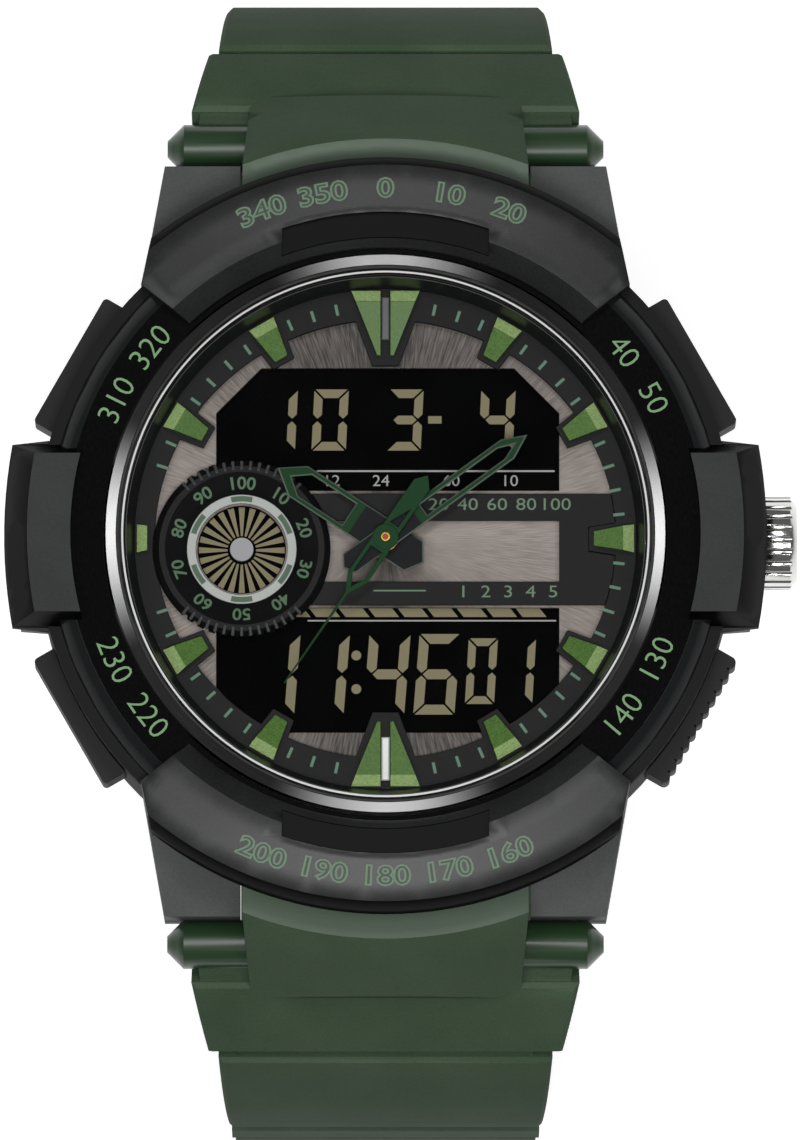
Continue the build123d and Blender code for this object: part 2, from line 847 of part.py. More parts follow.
def make_pusher_seals():
    """The four O-rings round the pushers' stems."""
    seals = []
    major = pusher_stem_radius + slide_gap + seal_wire_radius
    for angle in pusher_angles():
        seal = Pos(seal_place, 0, side_axis_z) * Rot(0, 90, 0) * Torus(major, seal_wire_radius)
        seals.append(Rot(0, 0, angle) * seal)
    return as_one(seals)


def make_crown():
    body = turned([
        (0, crown_inner_x),
        (crown_radius, crown_inner_x),
        (crown_radius, crown_outer_x - crown_edge),
        (crown_radius - crown_edge, crown_outer_x),
        (0, crown_outer_x),
    ])
    for index in range(crown_flutes):
        turn = Rot(0, 0, 360 * index / crown_flutes)
        flute = disc(crown_flute_radius, crown_inner_x - spare, crown_outer_x + spare,
                     crown_radius + crown_flute_radius / 2)
        body -= turn * flute
    body -= disc(crown_bore_radius, crown_inner_x - spare, crown_inner_x + crown_bore_depth)
    body -= disc(crown_stem_radius + seat_gap, crown_inner_x, crown_outer_x - crown_edge)
    return Pos(0, 0, crown_axis_z) * Rot(0, 90, 0) * body


def make_crown_stem():
    outer = crown_outer_x - crown_edge - seat_gap
    stem = rod_x(crown_stem_radius, crown_stem_inner_x, outer, 0, crown_axis_z)
    half = lever_thickness / 2 + slide_gap
    groove = rod_x(crown_stem_radius + spare, lever_x - half, lever_x + half, 0, crown_axis_z)
    core = rod_x(crown_stem_radius - stem_groove_depth, 0, outer, 0, crown_axis_z)
    return stem - (groove - core)


def make_crown_tube():
    tube = rod_x(crown_tube_radius, cavity_radius + slide_gap, crown_tube_outer_x, 0, crown_axis_z)
    bore = crown_stem_radius + slide_gap
    tube -= rod_x(bore, 0, crown_tube_outer_x + spare, 0, crown_axis_z)
    groove_radius = crown_tube_radius - stem_groove_depth
    half = seal_wire_radius
    groove = rod_x(crown_tube_radius + spare, crown_seal_x - half, crown_seal_x + half,
                   0, crown_axis_z)
    core = rod_x(groove_radius, 0, crown_tube_outer_x, 0, crown_axis_z)
    return tube - (groove - core)


def make_crown_seal():
    """O-ring in the groove of the crown's tube, inside the crown."""
    wire = (crown_bore_radius - slide_gap - crown_tube_radius + stem_groove_depth) / 2
    major = crown_tube_radius - stem_groove_depth + wire
    ring_shape = Torus(major, wire - seat_gap)
    return Pos(crown_seal_x, 0, crown_axis_z) * Rot(0, 90, 0) * ring_shape


def make_setting_lever():
    """Fork that the stem's groove carries along when the crown is pulled."""
    half = lever_thickness / 2
    lever = block(lever_x - half, lever_x + half, -lever_half_width, lever_half_width,
                  lever_bottom, lever_top)
    hole = crown_stem_radius - stem_groove_depth + slide_gap
    lever -= rod_x(hole, 0, crown_inner_x, 0, crown_axis_z)
    return lever - block(0, crown_inner_x, -hole, hole, crown_axis_z, lever_top + spare)


# Dial


def window_outline(low, high, cut_high):
    """Display window with two cut corners, at the top or at the bottom."""
    if cut_high:
        return [
            (window_left, low),
            (window_right, low),
            (window_right, high - window_corner),
            (window_right - window_corner, high),
            (window_left + window_corner, high),
            (window_left, high - window_corner),
        ]
    return [
        (window_left, high),
        (window_right, high),
        (window_right, low + window_corner),
        (window_right - window_corner, low),
        (window_left + window_corner, low),
        (window_left, low + window_corner),
    ]


def make_dial_plate():
    plate = disc(cavity_radius - slide_gap, dial_bottom, dial_top)
    high = dial_top + spare
    plate -= prism(window_outline(top_window_low, top_window_high, True), 0, high)
    plate -= prism(window_outline(bottom_window_low, bottom_window_high, False), 0, high)
    plate -= disc(subdial_window_radius, 0, high, subdial_x, subdial_y)
    return plate - disc(dial_hole_radius, 0, high)


def marker_outline(margin):
    """Outline of a plain hour marker at 12 o'clock, grown by a margin."""
    return [
        (-marker_outer_half - margin, marker_outer_radius),
        (marker_outer_half + margin, marker_outer_radius),
        (marker_inner_half + margin, marker_inner_radius - margin),
        (-marker_inner_half - margin, marker_inner_radius - margin),
    ]


def twin_outline(margin):
    """Right half of the double marker at 12 o'clock, grown outwards by a margin."""
    return [
        (twin_gap_half, marker_outer_radius),
        (twin_outer_half + margin, marker_outer_radius - margin),
        (twin_tip_half + margin, twin_inner_y - margin),
        (twin_gap_half, twin_inner_y - margin),
    ]


def pad_outline():
    """Dark base under a double marker."""
    right = [
        (twin_outer_half + marker_pad_margin, marker_outer_radius - marker_pad_margin),
        (twin_tip_half + marker_pad_margin, twin_inner_y - marker_pad_margin * 2),
    ]
    left = [(-x, y) for x, y in reversed(right)]
    return right + left


def subdial_room(margin):
    """Round space that the small dial takes out of its neighbours."""
    return disc(subdial_outer_radius + margin, 0, guard_top, subdial_x, subdial_y)


def make_chapter_ring():
    inner = extrude(Ellipse(chapter_inner_x, chapter_inner_y), guard_top)
    chapter = disc(cavity_radius - slide_gap, dial_top, chapter_top) - inner
    for hour in plain_hours:
        chapter += compass(hour * hour_step) * prism(marker_outline(marker_pad_margin),
                                                     dial_top, chapter_top)
    chapter += half_turn(prism(pad_outline(), dial_top, chapter_top))
    return chapter - subdial_room(seat_gap)


def marker_roof(inner_y):
    """Space under the two sloping facets of a marker at 12 o'clock."""
    inner_z = marker_inner_z
    return side_prism(face_of([
        (inner_y - marker_pad_margin, chapter_top),
        (inner_y, inner_z),
        (marker_ridge_radius, marker_ridge_z),
        (marker_outer_radius, marker_outer_z),
        (marker_outer_radius, chapter_top),
    ]), twin_outer_half + marker_pad_margin)


def make_hour_markers():
    markers = []
    plain = prism(marker_outline(0), chapter_top, guard_top) & marker_roof(marker_inner_radius)
    for hour in plain_hours:
        markers.append(compass(hour * hour_step) * plain)
    twin = prism(twin_outline(0), chapter_top, guard_top) & marker_roof(twin_inner_y)
    for side in (twin, mirror(twin, Plane.YZ)):
        markers.append(side)
        markers.append(Rot(0, 0, 180) * side)
    stub = plain & block(-marker_outer_half, marker_outer_half, stub_inner_radius,
                         marker_outer_radius, 0, guard_top)
    markers.append(compass(stub_hour * hour_step) * stub)
    return as_one(markers)


def make_flange_ring():
    outer = cavity_radius - slide_gap
    return turned([
        (flange_inner_radius, chapter_top),
        (outer, chapter_top),
        (outer, crystal_bottom - seat_gap),
        (outer - slide_gap, crystal_bottom - seat_gap),
    ])


def make_dial_bracket():
    right = chapter_inner_x
    top = block(subdial_x, right, bracket_top_low, bracket_top_high, dial_top, bracket_top)
    low = block(subdial_x, right, bracket_bottom_low, bracket_bottom_high,
                dial_top, bracket_top)
    side = block(window_right, right, bracket_bottom_low, bracket_top_high,
                 dial_top, bracket_top)
    bracket = (top + low + side) & extrude(Ellipse(chapter_inner_x - seat_gap,
                                                   chapter_inner_y), guard_top)
    bracket -= compass(90) * prism(marker_outline(marker_pad_margin + seat_gap), 0, guard_top)
    bracket -= subdial_room(seat_gap)
    return bracket - disc(dial_hole_radius, 0, guard_top)


def make_subdial_ring():
    """Small round dial with a raised, notched rim."""
    rim_fall = (subdial_outer_radius - subdial_face_radius) / 2
    body = turned([
        (subdial_trim_inner, dial_top),
        (subdial_outer_radius, dial_top),
        (subdial_outer_radius, subdial_top - rim_fall),
        (subdial_outer_radius - rim_fall, subdial_top),
        (subdial_face_radius, subdial_top),
        (subdial_trim_outer + seat_gap, dial_top + subdial_trim_height),
        (subdial_trim_outer + seat_gap, dial_top + seat_gap),
        (subdial_trim_inner, dial_top + seat_gap),
    ])
    middle = (subdial_notches - 1) / 2
    for index in range(subdial_notches):
        for side in (0, 180):
            angle = (index - middle) * subdial_notch_step + side
            notch = disc(subdial_notch_radius, dial_top, guard_top, 0, subdial_outer_radius)
            body -= compass(angle) * notch
    return Pos(subdial_x, subdial_y, 0) * body


def make_subdial_trim():
    return ring(subdial_trim_inner, subdial_trim_outer, dial_top + seat_gap,
                dial_top + subdial_trim_height, subdial_x, subdial_y)


def make_subdial_cap():
    bottom = lcd_bottom + lcd_thickness
    return disc(subdial_cap_radius, bottom, subdial_cap_top, subdial_x, subdial_y)


# Hands and motion work


def tooth_outline(teeth):
    """Outline of a spur wheel: straight flanks, thinner than half a pitch, pointed tips."""
    pitch_radius = tooth_module * teeth / 2
    root = pitch_radius - tooth_module * tooth_root_share
    tip = pitch_radius + tooth_module * tooth_tip_share
    rising = [(radius, -share)
              for radius, share in zip((root, pitch_radius, tip), tooth_half_shares)]
    falling = [(radius, -share) for radius, share in reversed(rising)]
    points = []
    for index in range(teeth):
        for radius, share in rising + falling:
            points.append(polar(radius, 360 * (index + share) / teeth))
    return points


def spur_wheel(teeth, bottom, turn=0):
    """Spur wheel about Z, turned by an angle in degrees."""
    return Rot(0, 0, turn) * prism(tooth_outline(teeth), bottom, bottom + wheel_thickness)


def hand(shape, angle):
    """Place a hand drawn towards 12 o'clock."""
    return compass(angle) * shape


def skeleton_hand(length, half_width, foot, tail, bottom):
    """Hand drawn towards 12: a bar pointed at both ends, with an opening in its long end."""
    widest = length - hand_point
    tail_side = half_width * hand_tail_share - tail
    top = bottom + hand_thickness
    bar = prism([
        (-half_width, tail_side),
        (-half_width, widest),
        (0, length),
        (half_width, widest),
        (half_width, tail_side),
        (0, -tail),
    ], bottom, top)
    inner_half = half_width - hand_rim
    start = foot + hand_foot_bar
    shoulder = widest - hand_rim * hand_slope_share
    opening = prism([
        (-inner_half, start),
        (-inner_half, shoulder),
        (0, length - hand_notch),
        (inner_half, shoulder),
        (inner_half, start),
    ], bottom - spare, top + spare)
    return bar - opening


def make_hour_hand():
    shape = skeleton_hand(hour_length, hour_half_width, hour_foot, hour_tail, hour_hand_bottom)
    bore = hour_tube_outer_radius + seat_gap
    shape -= disc(bore, 0, guard_top)
    return hand(shape, hour_angle)


def make_hour_wheel():
    top = hour_hand_bottom + hand_thickness
    wheel = spur_wheel(hour_wheel_teeth, hour_wheel_bottom,
                       motion_angle + 180 / hour_wheel_teeth)
    tube = disc(hour_tube_outer_radius, hour_wheel_bottom, top)
    return wheel + tube - disc(hour_tube_inner_radius, 0, guard_top)


def make_minute_hand():
    shape = skeleton_hand(minute_length, minute_half_width, minute_foot, minute_tail,
                          minute_hand_bottom)
    shape -= disc(cannon_outer_radius + seat_gap, 0, guard_top)
    return hand(shape, minute_angle)


def make_cannon_pinion():
    top = minute_hand_bottom + hand_thickness
    wheel = spur_wheel(cannon_teeth, cannon_wheel_bottom, motion_angle)
    tube = disc(cannon_outer_radius, cannon_wheel_bottom, top)
    return wheel + tube - disc(cannon_inner_radius, 0, guard_top)


def make_minute_wheel():
    """Wheel and pinion between the cannon pinion and the hour wheel."""
    x = motion_centre * math.cos(math.radians(motion_angle))
    y = motion_centre * math.sin(math.radians(motion_angle))
    wheel = spur_wheel(minute_wheel_teeth, cannon_wheel_bottom,
                       motion_angle + 180 + 180 / minute_wheel_teeth)
    pinion = Rot(0, 0, motion_angle + 180) * prism(
        tooth_outline(minute_pinion_teeth), cannon_wheel_bottom + wheel_thickness,
        hour_wheel_bottom + wheel_thickness)
    hole = disc(post_radius + slide_gap, 0, guard_top)
    return Pos(x, y, 0) * (wheel + pinion - hole)


def make_second_arbor():
    """Arbor of the second hand with its driven wheel."""
    wheel = disc(second_wheel_radius, second_wheel_bottom,
                 second_wheel_bottom + clip_thickness)
    top = second_hand_bottom + second_hand_thickness
    return wheel + disc(arbor_radius, main_plate_bottom, top)


def make_second_hand():
    """Second hand: open frame beside the hub, long needle and pointed tail."""
    bottom = second_hand_bottom
    top = bottom + second_hand_thickness
    tail_side = second_tail_point - second_tail_length
    body = prism([
        (-second_tail_half, tail_side),
        (-second_tail_half, 0),
        (-second_frame_half, 0),
        (-second_frame_half, second_frame_end),
        (-second_half_width, second_frame_tip),
        (-second_tip_half, second_length),
        (second_tip_half, second_length),
        (second_half_width, second_frame_tip),
        (second_frame_half, second_frame_end),
        (second_frame_half, 0),
        (second_tail_half, 0),
        (second_tail_half, tail_side),
        (0, -second_tail_length),
    ], bottom, top)
    start = second_hub_radius + second_rim / 2
    inner_half = second_frame_half - second_rim
    opening = prism([
        (-inner_half, start),
        (-inner_half, second_frame_end - second_rim / 2),
        (0, second_frame_tip - second_rim * 2),
        (inner_half, second_frame_end - second_rim / 2),
        (inner_half, start),
    ], bottom - spare, top + spare)
    tail_inner = second_tail_half - second_rim
    tail_opening = prism([
        (tail_inner, -start),
        (-tail_inner, -second_tail_length * second_opening_share),
        (-tail_inner, -start),
    ], bottom - spare, top + spare)
    shape = body - opening - tail_opening
    shape += disc(second_hub_radius, bottom, top)
    shape -= disc(arbor_radius + seat_gap, 0, guard_top)
    return hand(shape, second_angle)


# Module


def frame_notches():
    """Room in the module's wall for the pushers' inner ends and the crown's stem."""
    notch_half = clip_radius + moulding_gap
    notch = block(frame_radius - frame_wall * 3, cavity_radius, -notch_half, notch_half,
                  side_axis_z - notch_half, side_axis_z + notch_half)
    notches = [Rot(0, 0, angle) * notch for angle in pusher_angles()]
    notches.append(rod_x(crown_stem_radius + moulding_gap, 0, crown_inner_x, 0, crown_axis_z))
    return notches


def connector_slots(gap):
    """Two long slots or strips between the circuit board and the display."""
    low = connector_y - connector_half_width - gap
    high = connector_y + connector_half_width + gap
    half = connector_half_length + gap
    strip = block(-half, half, low, high, board_bottom + board_thickness, lcd_bottom)
    return half_turn(strip)


def make_module_frame():
    inner = frame_radius - frame_wall
    frame = ring(inner, frame_radius, frame_bottom, dial_bottom)
    plate_top = main_plate_bottom + main_plate_thickness
    frame += disc(inner + seat_gap, main_plate_bottom, plate_top)
    frame += ring(backlight_radius - frame_wall * 2, inner + seat_gap,
                  plate_top, backlight_bottom)
    frame -= connector_slots(slide_gap)
    for notch in frame_notches():
        frame -= notch
    frame -= disc(arbor_radius + slide_gap, 0, guard_top)
    x = motion_centre * math.cos(math.radians(motion_angle))
    y = motion_centre * math.sin(math.radians(motion_angle))
    frame += disc(post_radius, plate_top, hour_wheel_bottom + wheel_thickness + slide_gap, x, y)
    return frame


def make_battery_holder():
    """Plate under the circuit board with a round opening for the battery."""
    low = board_bottom - battery_thickness
    top = board_bottom - seat_gap
    holder = disc(board_radius, low, top)
    holder -= disc(battery_radius + battery_gap, 0, guard_top, *battery_place)
    x, y = polar(board_radius - chip_inset, chip_angle)
    half = chip_half + battery_gap
    return holder - block(x - half, x + half, y - half, y + half,
                          board_bottom - chip_height - battery_gap, board_bottom)


def make_circuit_board():
    top = board_bottom + board_thickness
    board = disc(board_radius, board_bottom, top)
    board -= disc(post_radius + slide_gap, 0, guard_top)
    x, y = polar(board_radius - chip_inset, chip_angle)
    half = chip_half
    chip = block(x - half, x + half, y - half, y + half, board_bottom - chip_height, board_bottom)
    return board + chip


def make_battery():
    x, y = battery_place
    top = battery_bottom + battery_thickness
    can = disc(battery_radius, battery_bottom + clip_thickness, top, x, y)
    cap = disc(battery_radius * battery_cap_share, battery_bottom, battery_bottom + clip_thickness, x, y)
    return can + cap


def make_battery_clip():
    """Sprung strip that holds the battery up against the board."""
    x, y = battery_place
    low = battery_bottom - clip_thickness
    half = core_half_width
    reach = battery_radius + battery_gap + frame_wall
    strip = block(-reach, reach, y - half, y + half, low, battery_bottom)
    foot_low = board_bottom - battery_thickness
    feet = block(reach - frame_wall, reach, y - half, y + half, low, foot_low)
    return strip + mirrored_pair(feet)


def make_buzzer():
    return disc(buzzer_radius, back_thickness, back_thickness + buzzer_thickness)


def make_backlight():
    plate = disc(backlight_radius, backlight_bottom, lcd_bottom)
    plate -= disc(dial_hole_radius, 0, guard_top)
    return plate - connector_slots(slide_gap)


def make_lcd_panel():
    panel = disc(window_edge_radius, lcd_bottom, lcd_bottom + lcd_thickness)
    return panel - disc(dial_hole_radius, 0, guard_top)


def make_lcd_connectors():
    return connector_slots(0)


def coil_places():
    """Centres of the two motor coils."""
    return [polar(board_radius - coil_inset, angle) for angle in coil_angles]


def coil_axis_z():
    """Height of the coils' axes over the main plate."""
    return main_plate_bottom + main_plate_thickness + (core_half_width + coil_radius) / 2


def make_coils():
    coils = []
    z = coil_axis_z()
    for x, y in coil_places():
        coil = rod_x(coil_radius, -coil_half_length, coil_half_length, 0, 0)
        core = block(-coil_half_length - core_reach, coil_half_length + core_reach,
                     -core_thickness, core_thickness, -core_thickness, core_thickness)
        coils.append(Pos(x, y, z) * Rot(0, 0, coil_turn) * (coil - core))
    return as_one(coils)


def make_coil_cores():
    cores = []
    z = coil_axis_z()
    plate_top = main_plate_bottom + main_plate_thickness
    for x, y in coil_places():
        bar = block(-core_half_length, core_half_length, -core_thickness, core_thickness,
                    -core_thickness, core_thickness)
        foot = block(coil_half_length + slide_gap, core_half_length, -core_half_width,
                     core_half_width, plate_top - z, core_thickness)
        other = block(-core_half_length, -coil_half_length - slide_gap, -core_half_width,
                      core_half_width, plate_top - z, core_thickness)
        cores.append(Pos(x, y, z) * Rot(0, 0, coil_turn) * (bar + foot + other))
    return as_one(cores)


# Strap


def arc_point(angle, radius):
    """Point in Y and Z on the arc beside the case."""
    turn = math.radians(angle)
    return (arc_y + radius * math.cos(turn), arc_z + radius * math.sin(turn))


def arc_band(start, end, inner, outer):
    """Face in Y and Z between two radii and two angles of the arc."""
    middle = (start + end) / 2
    out = ThreePointArc(arc_point(start, outer), arc_point(middle, outer), arc_point(end, outer))
    back = ThreePointArc(arc_point(end, inner), arc_point(middle, inner), arc_point(start, inner))
    return make_face(out + Line(out @ 1, back @ 0) + back + Line(back @ 1, out @ 0))


def tapered_arc(start, end, inner, outer, start_half, end_half):
    """Piece of band on the arc whose half width goes from one value to another."""
    middle = (start + end) / 2
    solid = side_prism(arc_band(start, end, inner, outer), max(start_half, end_half))
    turn = math.radians(middle)
    reach = outer * math.sin(math.radians((start - end) / 2))
    slope = (end_half - start_half) / (2 * reach)
    far = reach + spare
    low_half = start_half - slope * spare
    high_half = end_half + slope * spare
    outline = face_of([(-high_half, far), (high_half, far), (low_half, -far), (-low_half, -far)])
    plane = Plane((0, arc_y, arc_z), x_dir=(1, 0, 0), z_dir=(0, math.cos(turn), math.sin(turn)))
    return solid & extrude(plane * outline, outer + spare)


def outer_edges(solid):
    """Edges of a piece on the arc that lie on its outer face."""
    reach = []
    for edge in solid.edges():
        middle = edge.center()
        reach.append((math.hypot(middle.Y - arc_y, middle.Z - arc_z), edge))
    limit = max(distance for distance, edge in reach) - seat_gap
    return [edge for distance, edge in reach if distance > limit]


def strap_segments(angles, halves):
    """Raised segments of the strap on the arc."""
    inner = arc_radius - band_thickness / 2
    outer = arc_radius + band_thickness / 2 + segment_lift
    pieces = []
    for (start, end), (start_half, end_half) in zip(angles, halves):
        piece = tapered_arc(start, end, inner, outer, start_half, end_half)
        pieces.append(chamfer(outer_edges(piece), segment_edge))
    return pieces


def strap_block():
    """Block of the strap that closes the gap between the lug ends."""
    half = block_half_width
    end_half = block_end_half_width
    inner_y = lug_shoulder_y
    outline = face_of([
        (-half, inner_y),
        (-half, lug_end_y),
        (-end_half, block_end_y),
        (end_half, block_end_y),
        (half, lug_end_y),
        (half, inner_y),
    ])
    column = extrude(outline, block_crest_z + spare)
    column = fillet(column.edges().filter_by(Axis.Z).group_by(Axis.Y)[-1], block_corner_radius)
    slope = (block_end_z - block_crest_z) / (block_end_y - block_crest_radius)
    far = block_end_y + block_corner_radius + spare
    far_z = block_crest_z + slope * (far - block_crest_radius)
    roof = turned([
        (block_inner_radius, arc_z),
        (block_inner_radius, block_inner_z),
        (block_crest_radius, block_crest_z),
        (far, far_z),
        (far, arc_z),
    ])
    return column & roof


def strap_under_cut():
    """Space below and inside the strap's end that the block must not fill."""
    keep = arc_radius - band_thickness / 2
    cylinder = rod_x(keep, -barrel_half_length, barrel_half_length, arc_y, arc_z)
    return cylinder - rod_x(barrel_radius, -barrel_half_length, barrel_half_length,
                            hinge_y, hinge_z)


def tab_slot():
    """Slot in the strap's barrel round one tab of the case, with room to swing."""
    low = tab_inner_x - moulding_gap
    high = tab_outer_x + moulding_gap
    room = tab_radius + moulding_gap
    slot = rod_x(room, low, high, hinge_y, hinge_z)
    far_y = hinge_y - barrel_radius - spare
    far_z = hinge_z - barrel_radius - spare
    wedge = face_of([
        (hinge_y, hinge_z + moulding_gap),
        (far_y, hinge_z + barrel_radius / 2),
        (far_y, far_z),
        (hinge_y, far_z),
    ])
    return slot + Pos(low, 0, 0) * extrude(Plane.YZ * wedge, high - low)


def strap_end():
    """End of either half of the strap at the case: barrel, block and raised segments."""
    barrel = rod_x(barrel_radius, -barrel_half_length, barrel_half_length, hinge_y, hinge_z)
    barrel = chamfer(barrel.edges().filter_by(GeomType.CIRCLE), barrel_chamfer)
    root_end = segment_angles[0][1]
    inner = arc_radius - band_thickness / 2
    outer = arc_radius + band_thickness / 2
    root = tapered_arc(arc_start, root_end, inner, outer, band_root_half, segment_halves[0][1])
    end = barrel + root
    for piece in strap_segments(segment_angles, segment_halves):
        end += piece
    end += strap_block() - strap_under_cut()
    end -= rod_x(spring_bar_radius + slide_gap, -tab_outer_x, tab_outer_x, hinge_y, hinge_z)
    return end - mirrored_pair(tab_slot())


def band_on_arc(start, end):
    """Plain band on the arc."""
    inner = arc_radius - band_thickness / 2
    outer = arc_radius + band_thickness / 2
    return side_prism(arc_band(start, end, inner, outer), band_half_width)


def tail_band():
    """Plain band of the long half below the arc."""
    half = band_thickness / 2
    side = arc_y + arc_radius
    turn_y = side - tail_arc_radius
    turn_z = arc_z - tail_drop
    floor = turn_z - tail_arc_radius
    outer = tail_arc_radius + half
    inner = tail_arc_radius - half
    diagonal = math.sqrt(0.5)
    tip = turn_y - tail_run
    out_drop = Line((side + half, arc_z), (side + half, turn_z))
    out_arc = ThreePointArc(out_drop @ 1, (turn_y + outer * diagonal, turn_z - outer * diagonal),
                            (turn_y, floor - half))
    out_run = Line(out_arc @ 1, (tip, floor - half))
    tip_line = Line(out_run @ 1, (tip, floor + half))
    in_run = Line(tip_line @ 1, (turn_y, floor + half))
    in_arc = ThreePointArc(in_run @ 1, (turn_y + inner * diagonal, turn_z - inner * diagonal),
                           (side - half, turn_z))
    in_drop = Line(in_arc @ 1, (side - half, arc_z))
    close = Line(in_drop @ 1, out_drop @ 0)
    face = make_face(out_drop + out_arc + out_run + tip_line + in_run + in_arc + in_drop + close)
    band = side_prism(face, band_half_width)
    return band & tail_outline(tip, floor)


def tail_outline(tip, floor):
    """Plan of the long half: it narrows along the run and ends in a round tip."""
    far = arc_y + arc_radius + band_thickness
    start = tip + tail_tip_half
    turn_y = arc_y + arc_radius - tail_arc_radius
    side = Line((band_half_width, far), (band_half_width, turn_y))
    taper = Line(side @ 1, (tail_tip_half, start))
    nose = ThreePointArc(taper @ 1, (0, tip), (-tail_tip_half, start))
    back = Line(nose @ 1, (-band_half_width, turn_y))
    other = Line(back @ 1, (-band_half_width, far))
    face = make_face(side + taper + nose + back + other + Line(other @ 1, side @ 0))
    low = floor - band_thickness
    return Pos(0, 0, low) * extrude(face, arc_z + spare - low)


def tail_holes():
    """Oval adjusting holes, counted from the tip along the run and up the curve."""
    turn_y = arc_y + arc_radius - tail_arc_radius
    turn_z = arc_z - tail_drop
    cutter = extrude(SlotCenterToCenter(2 * (tail_hole_half_length - tail_hole_radius) + seat_gap,
                                        2 * tail_hole_radius), band_thickness, both=True)
    holes = []
    for index in range(tail_hole_count):
        along = tail_hole_first + tail_hole_pitch * index
        if along <= tail_run:
            place = Pos(0, turn_y - tail_run + along, turn_z - tail_arc_radius)
        else:
            angle = math.degrees((along - tail_run) / tail_arc_radius)
            place = Pos(0, turn_y, turn_z) * Rot(angle, 0, 0) * Pos(0, 0, -tail_arc_radius)
        holes.append(place * cutter)
    return holes


def tail_pads():
    """Raised segments on the straight part of the long half."""
    low_y = arc_y + arc_radius - band_thickness / 2
    high_y = arc_y + arc_radius + band_thickness / 2 + segment_lift
    pads = []
    for index in range(tail_pad_count):
        top = arc_z - index * (tail_pad_length + tail_pad_gap)
        half = band_half_width + segment_lift / (index + 1)
        pads.append(block(-half, half, low_y, high_y, top - tail_pad_length, top))
    return pads


def make_strap_long():
    """Long half at 6 o'clock. It is drawn at 12 o'clock and turned round."""
    strap = strap_end() + band_on_arc(segment_angles[0][1], 0) + tail_band()
    for pad in tail_pads():
        strap += pad
    for hole in tail_holes():
        strap -= hole
    return Rot(0, 0, 180) * strap


def buckle_place():
    """Frame at the buckle's bar: X along the bar, Y along the strap, Z outwards."""
    angle = math.radians(short_arc_end)
    y, z = arc_point(short_arc_end, arc_radius)
    along = (math.sin(angle), -math.cos(angle))
    bar_y = y + along[0] * short_run
    bar_z = z + along[1] * short_run
    out = (0, math.cos(angle), math.sin(angle))
    return Plane((0, bar_y, bar_z), x_dir=(1, 0, 0), z_dir=out)


def make_strap_short():
    """Short half at 12 o'clock, with the buckle's end."""
    strap = strap_end() + band_on_arc(segment_angles[0][1], short_arc_end)
    for piece in strap_segments(short_segment_angles, short_segment_halves):
        strap += piece
    place = buckle_place()
    half = band_thickness / 2
    end = block(-band_half_width, band_half_width, -short_run - seat_gap, 0, -half, half)
    end += rod_x(buckle_barrel_radius, -band_half_width, band_half_width, 0, 0)
    end -= block(-tongue_slot_half, tongue_slot_half, -tongue_slot_length,
                 buckle_barrel_radius + spare, -buckle_barrel_radius - spare,
                 buckle_barrel_radius + spare)
    end -= rod_x(buckle_bar_radius + slide_gap, -band_half_width - spare,
                 band_half_width + spare, 0, 0)
    return strap + place.location * end


def make_spring_bar():
    """Bar at 12 o'clock with thin tips in the case's tabs."""
    bar_half = tab_inner_x - slide_gap
    bar = rod_x(spring_bar_radius, -bar_half, bar_half, hinge_y, hinge_z)
    tip_half = tab_outer_x - slide_gap
    return bar + rod_x(spring_tip_radius, -tip_half, tip_half, hinge_y, hinge_z)


def make_buckle_bar():
    return buckle_place().location * rod_x(buckle_bar_radius, -buckle_bar_half,
                                           buckle_bar_half, 0, 0)


def make_buckle_frame():
    outer = block(-frame_outer_half, frame_outer_half, -frame_arm_back, frame_reach,
                  -frame_arm_half, frame_arm_half)
    outer = fillet(outer.edges().filter_by(Axis.Z), frame_corner)
    inner = block(-frame_inner_half, frame_inner_half, -frame_arm_back - spare,
                  frame_reach - frame_cross, -frame_arm_half - spare, frame_arm_half + spare)
    frame = outer - inner
    hole = rod_x(buckle_bar_radius + seat_gap, -buckle_bar_half - seat_gap,
                 buckle_bar_half + seat_gap, 0, 0)
    return buckle_place().location * (frame - hole)


def make_buckle_tongue():
    """Tongue on the buckle's bar, its tip on the outside of the frame's cross piece."""
    low = frame_arm_half + slide_gap
    high = low + tongue_thickness
    side = face_of([
        (0, low - tongue_thickness / 2),
        (frame_reach - frame_cross * 2, low),
        (tongue_reach, low),
        (tongue_reach, low + tongue_thickness / 2),
        (tongue_reach - tongue_thickness, high),
        (0, tongue_ring_radius),
    ])
    tongue = side_prism(side, tongue_half_width)
    tongue += rod_x(tongue_ring_radius, -tongue_half_width, tongue_half_width, 0, 0)
    tongue -= rod_x(buckle_bar_radius + slide_gap, -spare - tongue_half_width,
                    tongue_half_width + spare, 0, 0)
    return buckle_place().location * tongue


def keeper(half_width, room_below):
    """Loop round the band with room for the long half outside it."""
    inner_half = band_half_width + keeper_side_gap
    outer_half = inner_half + keeper_thickness
    low = -band_thickness / 2 - room_below
    high = band_thickness / 2 + keeper_tail_room
    loop = block(-outer_half, outer_half, -half_width, half_width,
                 low - keeper_thickness, high + keeper_thickness)
    loop = fillet(loop.edges().filter_by(Axis.Y), keeper_thickness)
    return loop - block(-inner_half, inner_half, -half_width - spare, half_width + spare,
                        low, high)


def make_keeper_fixed():
    loop = keeper(fixed_keeper_half_width, seat_gap)
    return buckle_place().location * (Pos(0, -fixed_keeper_back, 0) * loop)


def make_keeper_sliding():
    angle = math.radians(sliding_keeper_angle)
    y, z = arc_point(sliding_keeper_angle, arc_radius)
    place = Plane((0, y, z), x_dir=(1, 0, 0), z_dir=(0, math.cos(angle), math.sin(angle)))
    sag = arc_radius - math.sqrt(arc_radius ** 2 - keeper_half_width ** 2)
    return place.location * keeper(keeper_half_width, keeper_face_gap + sag)


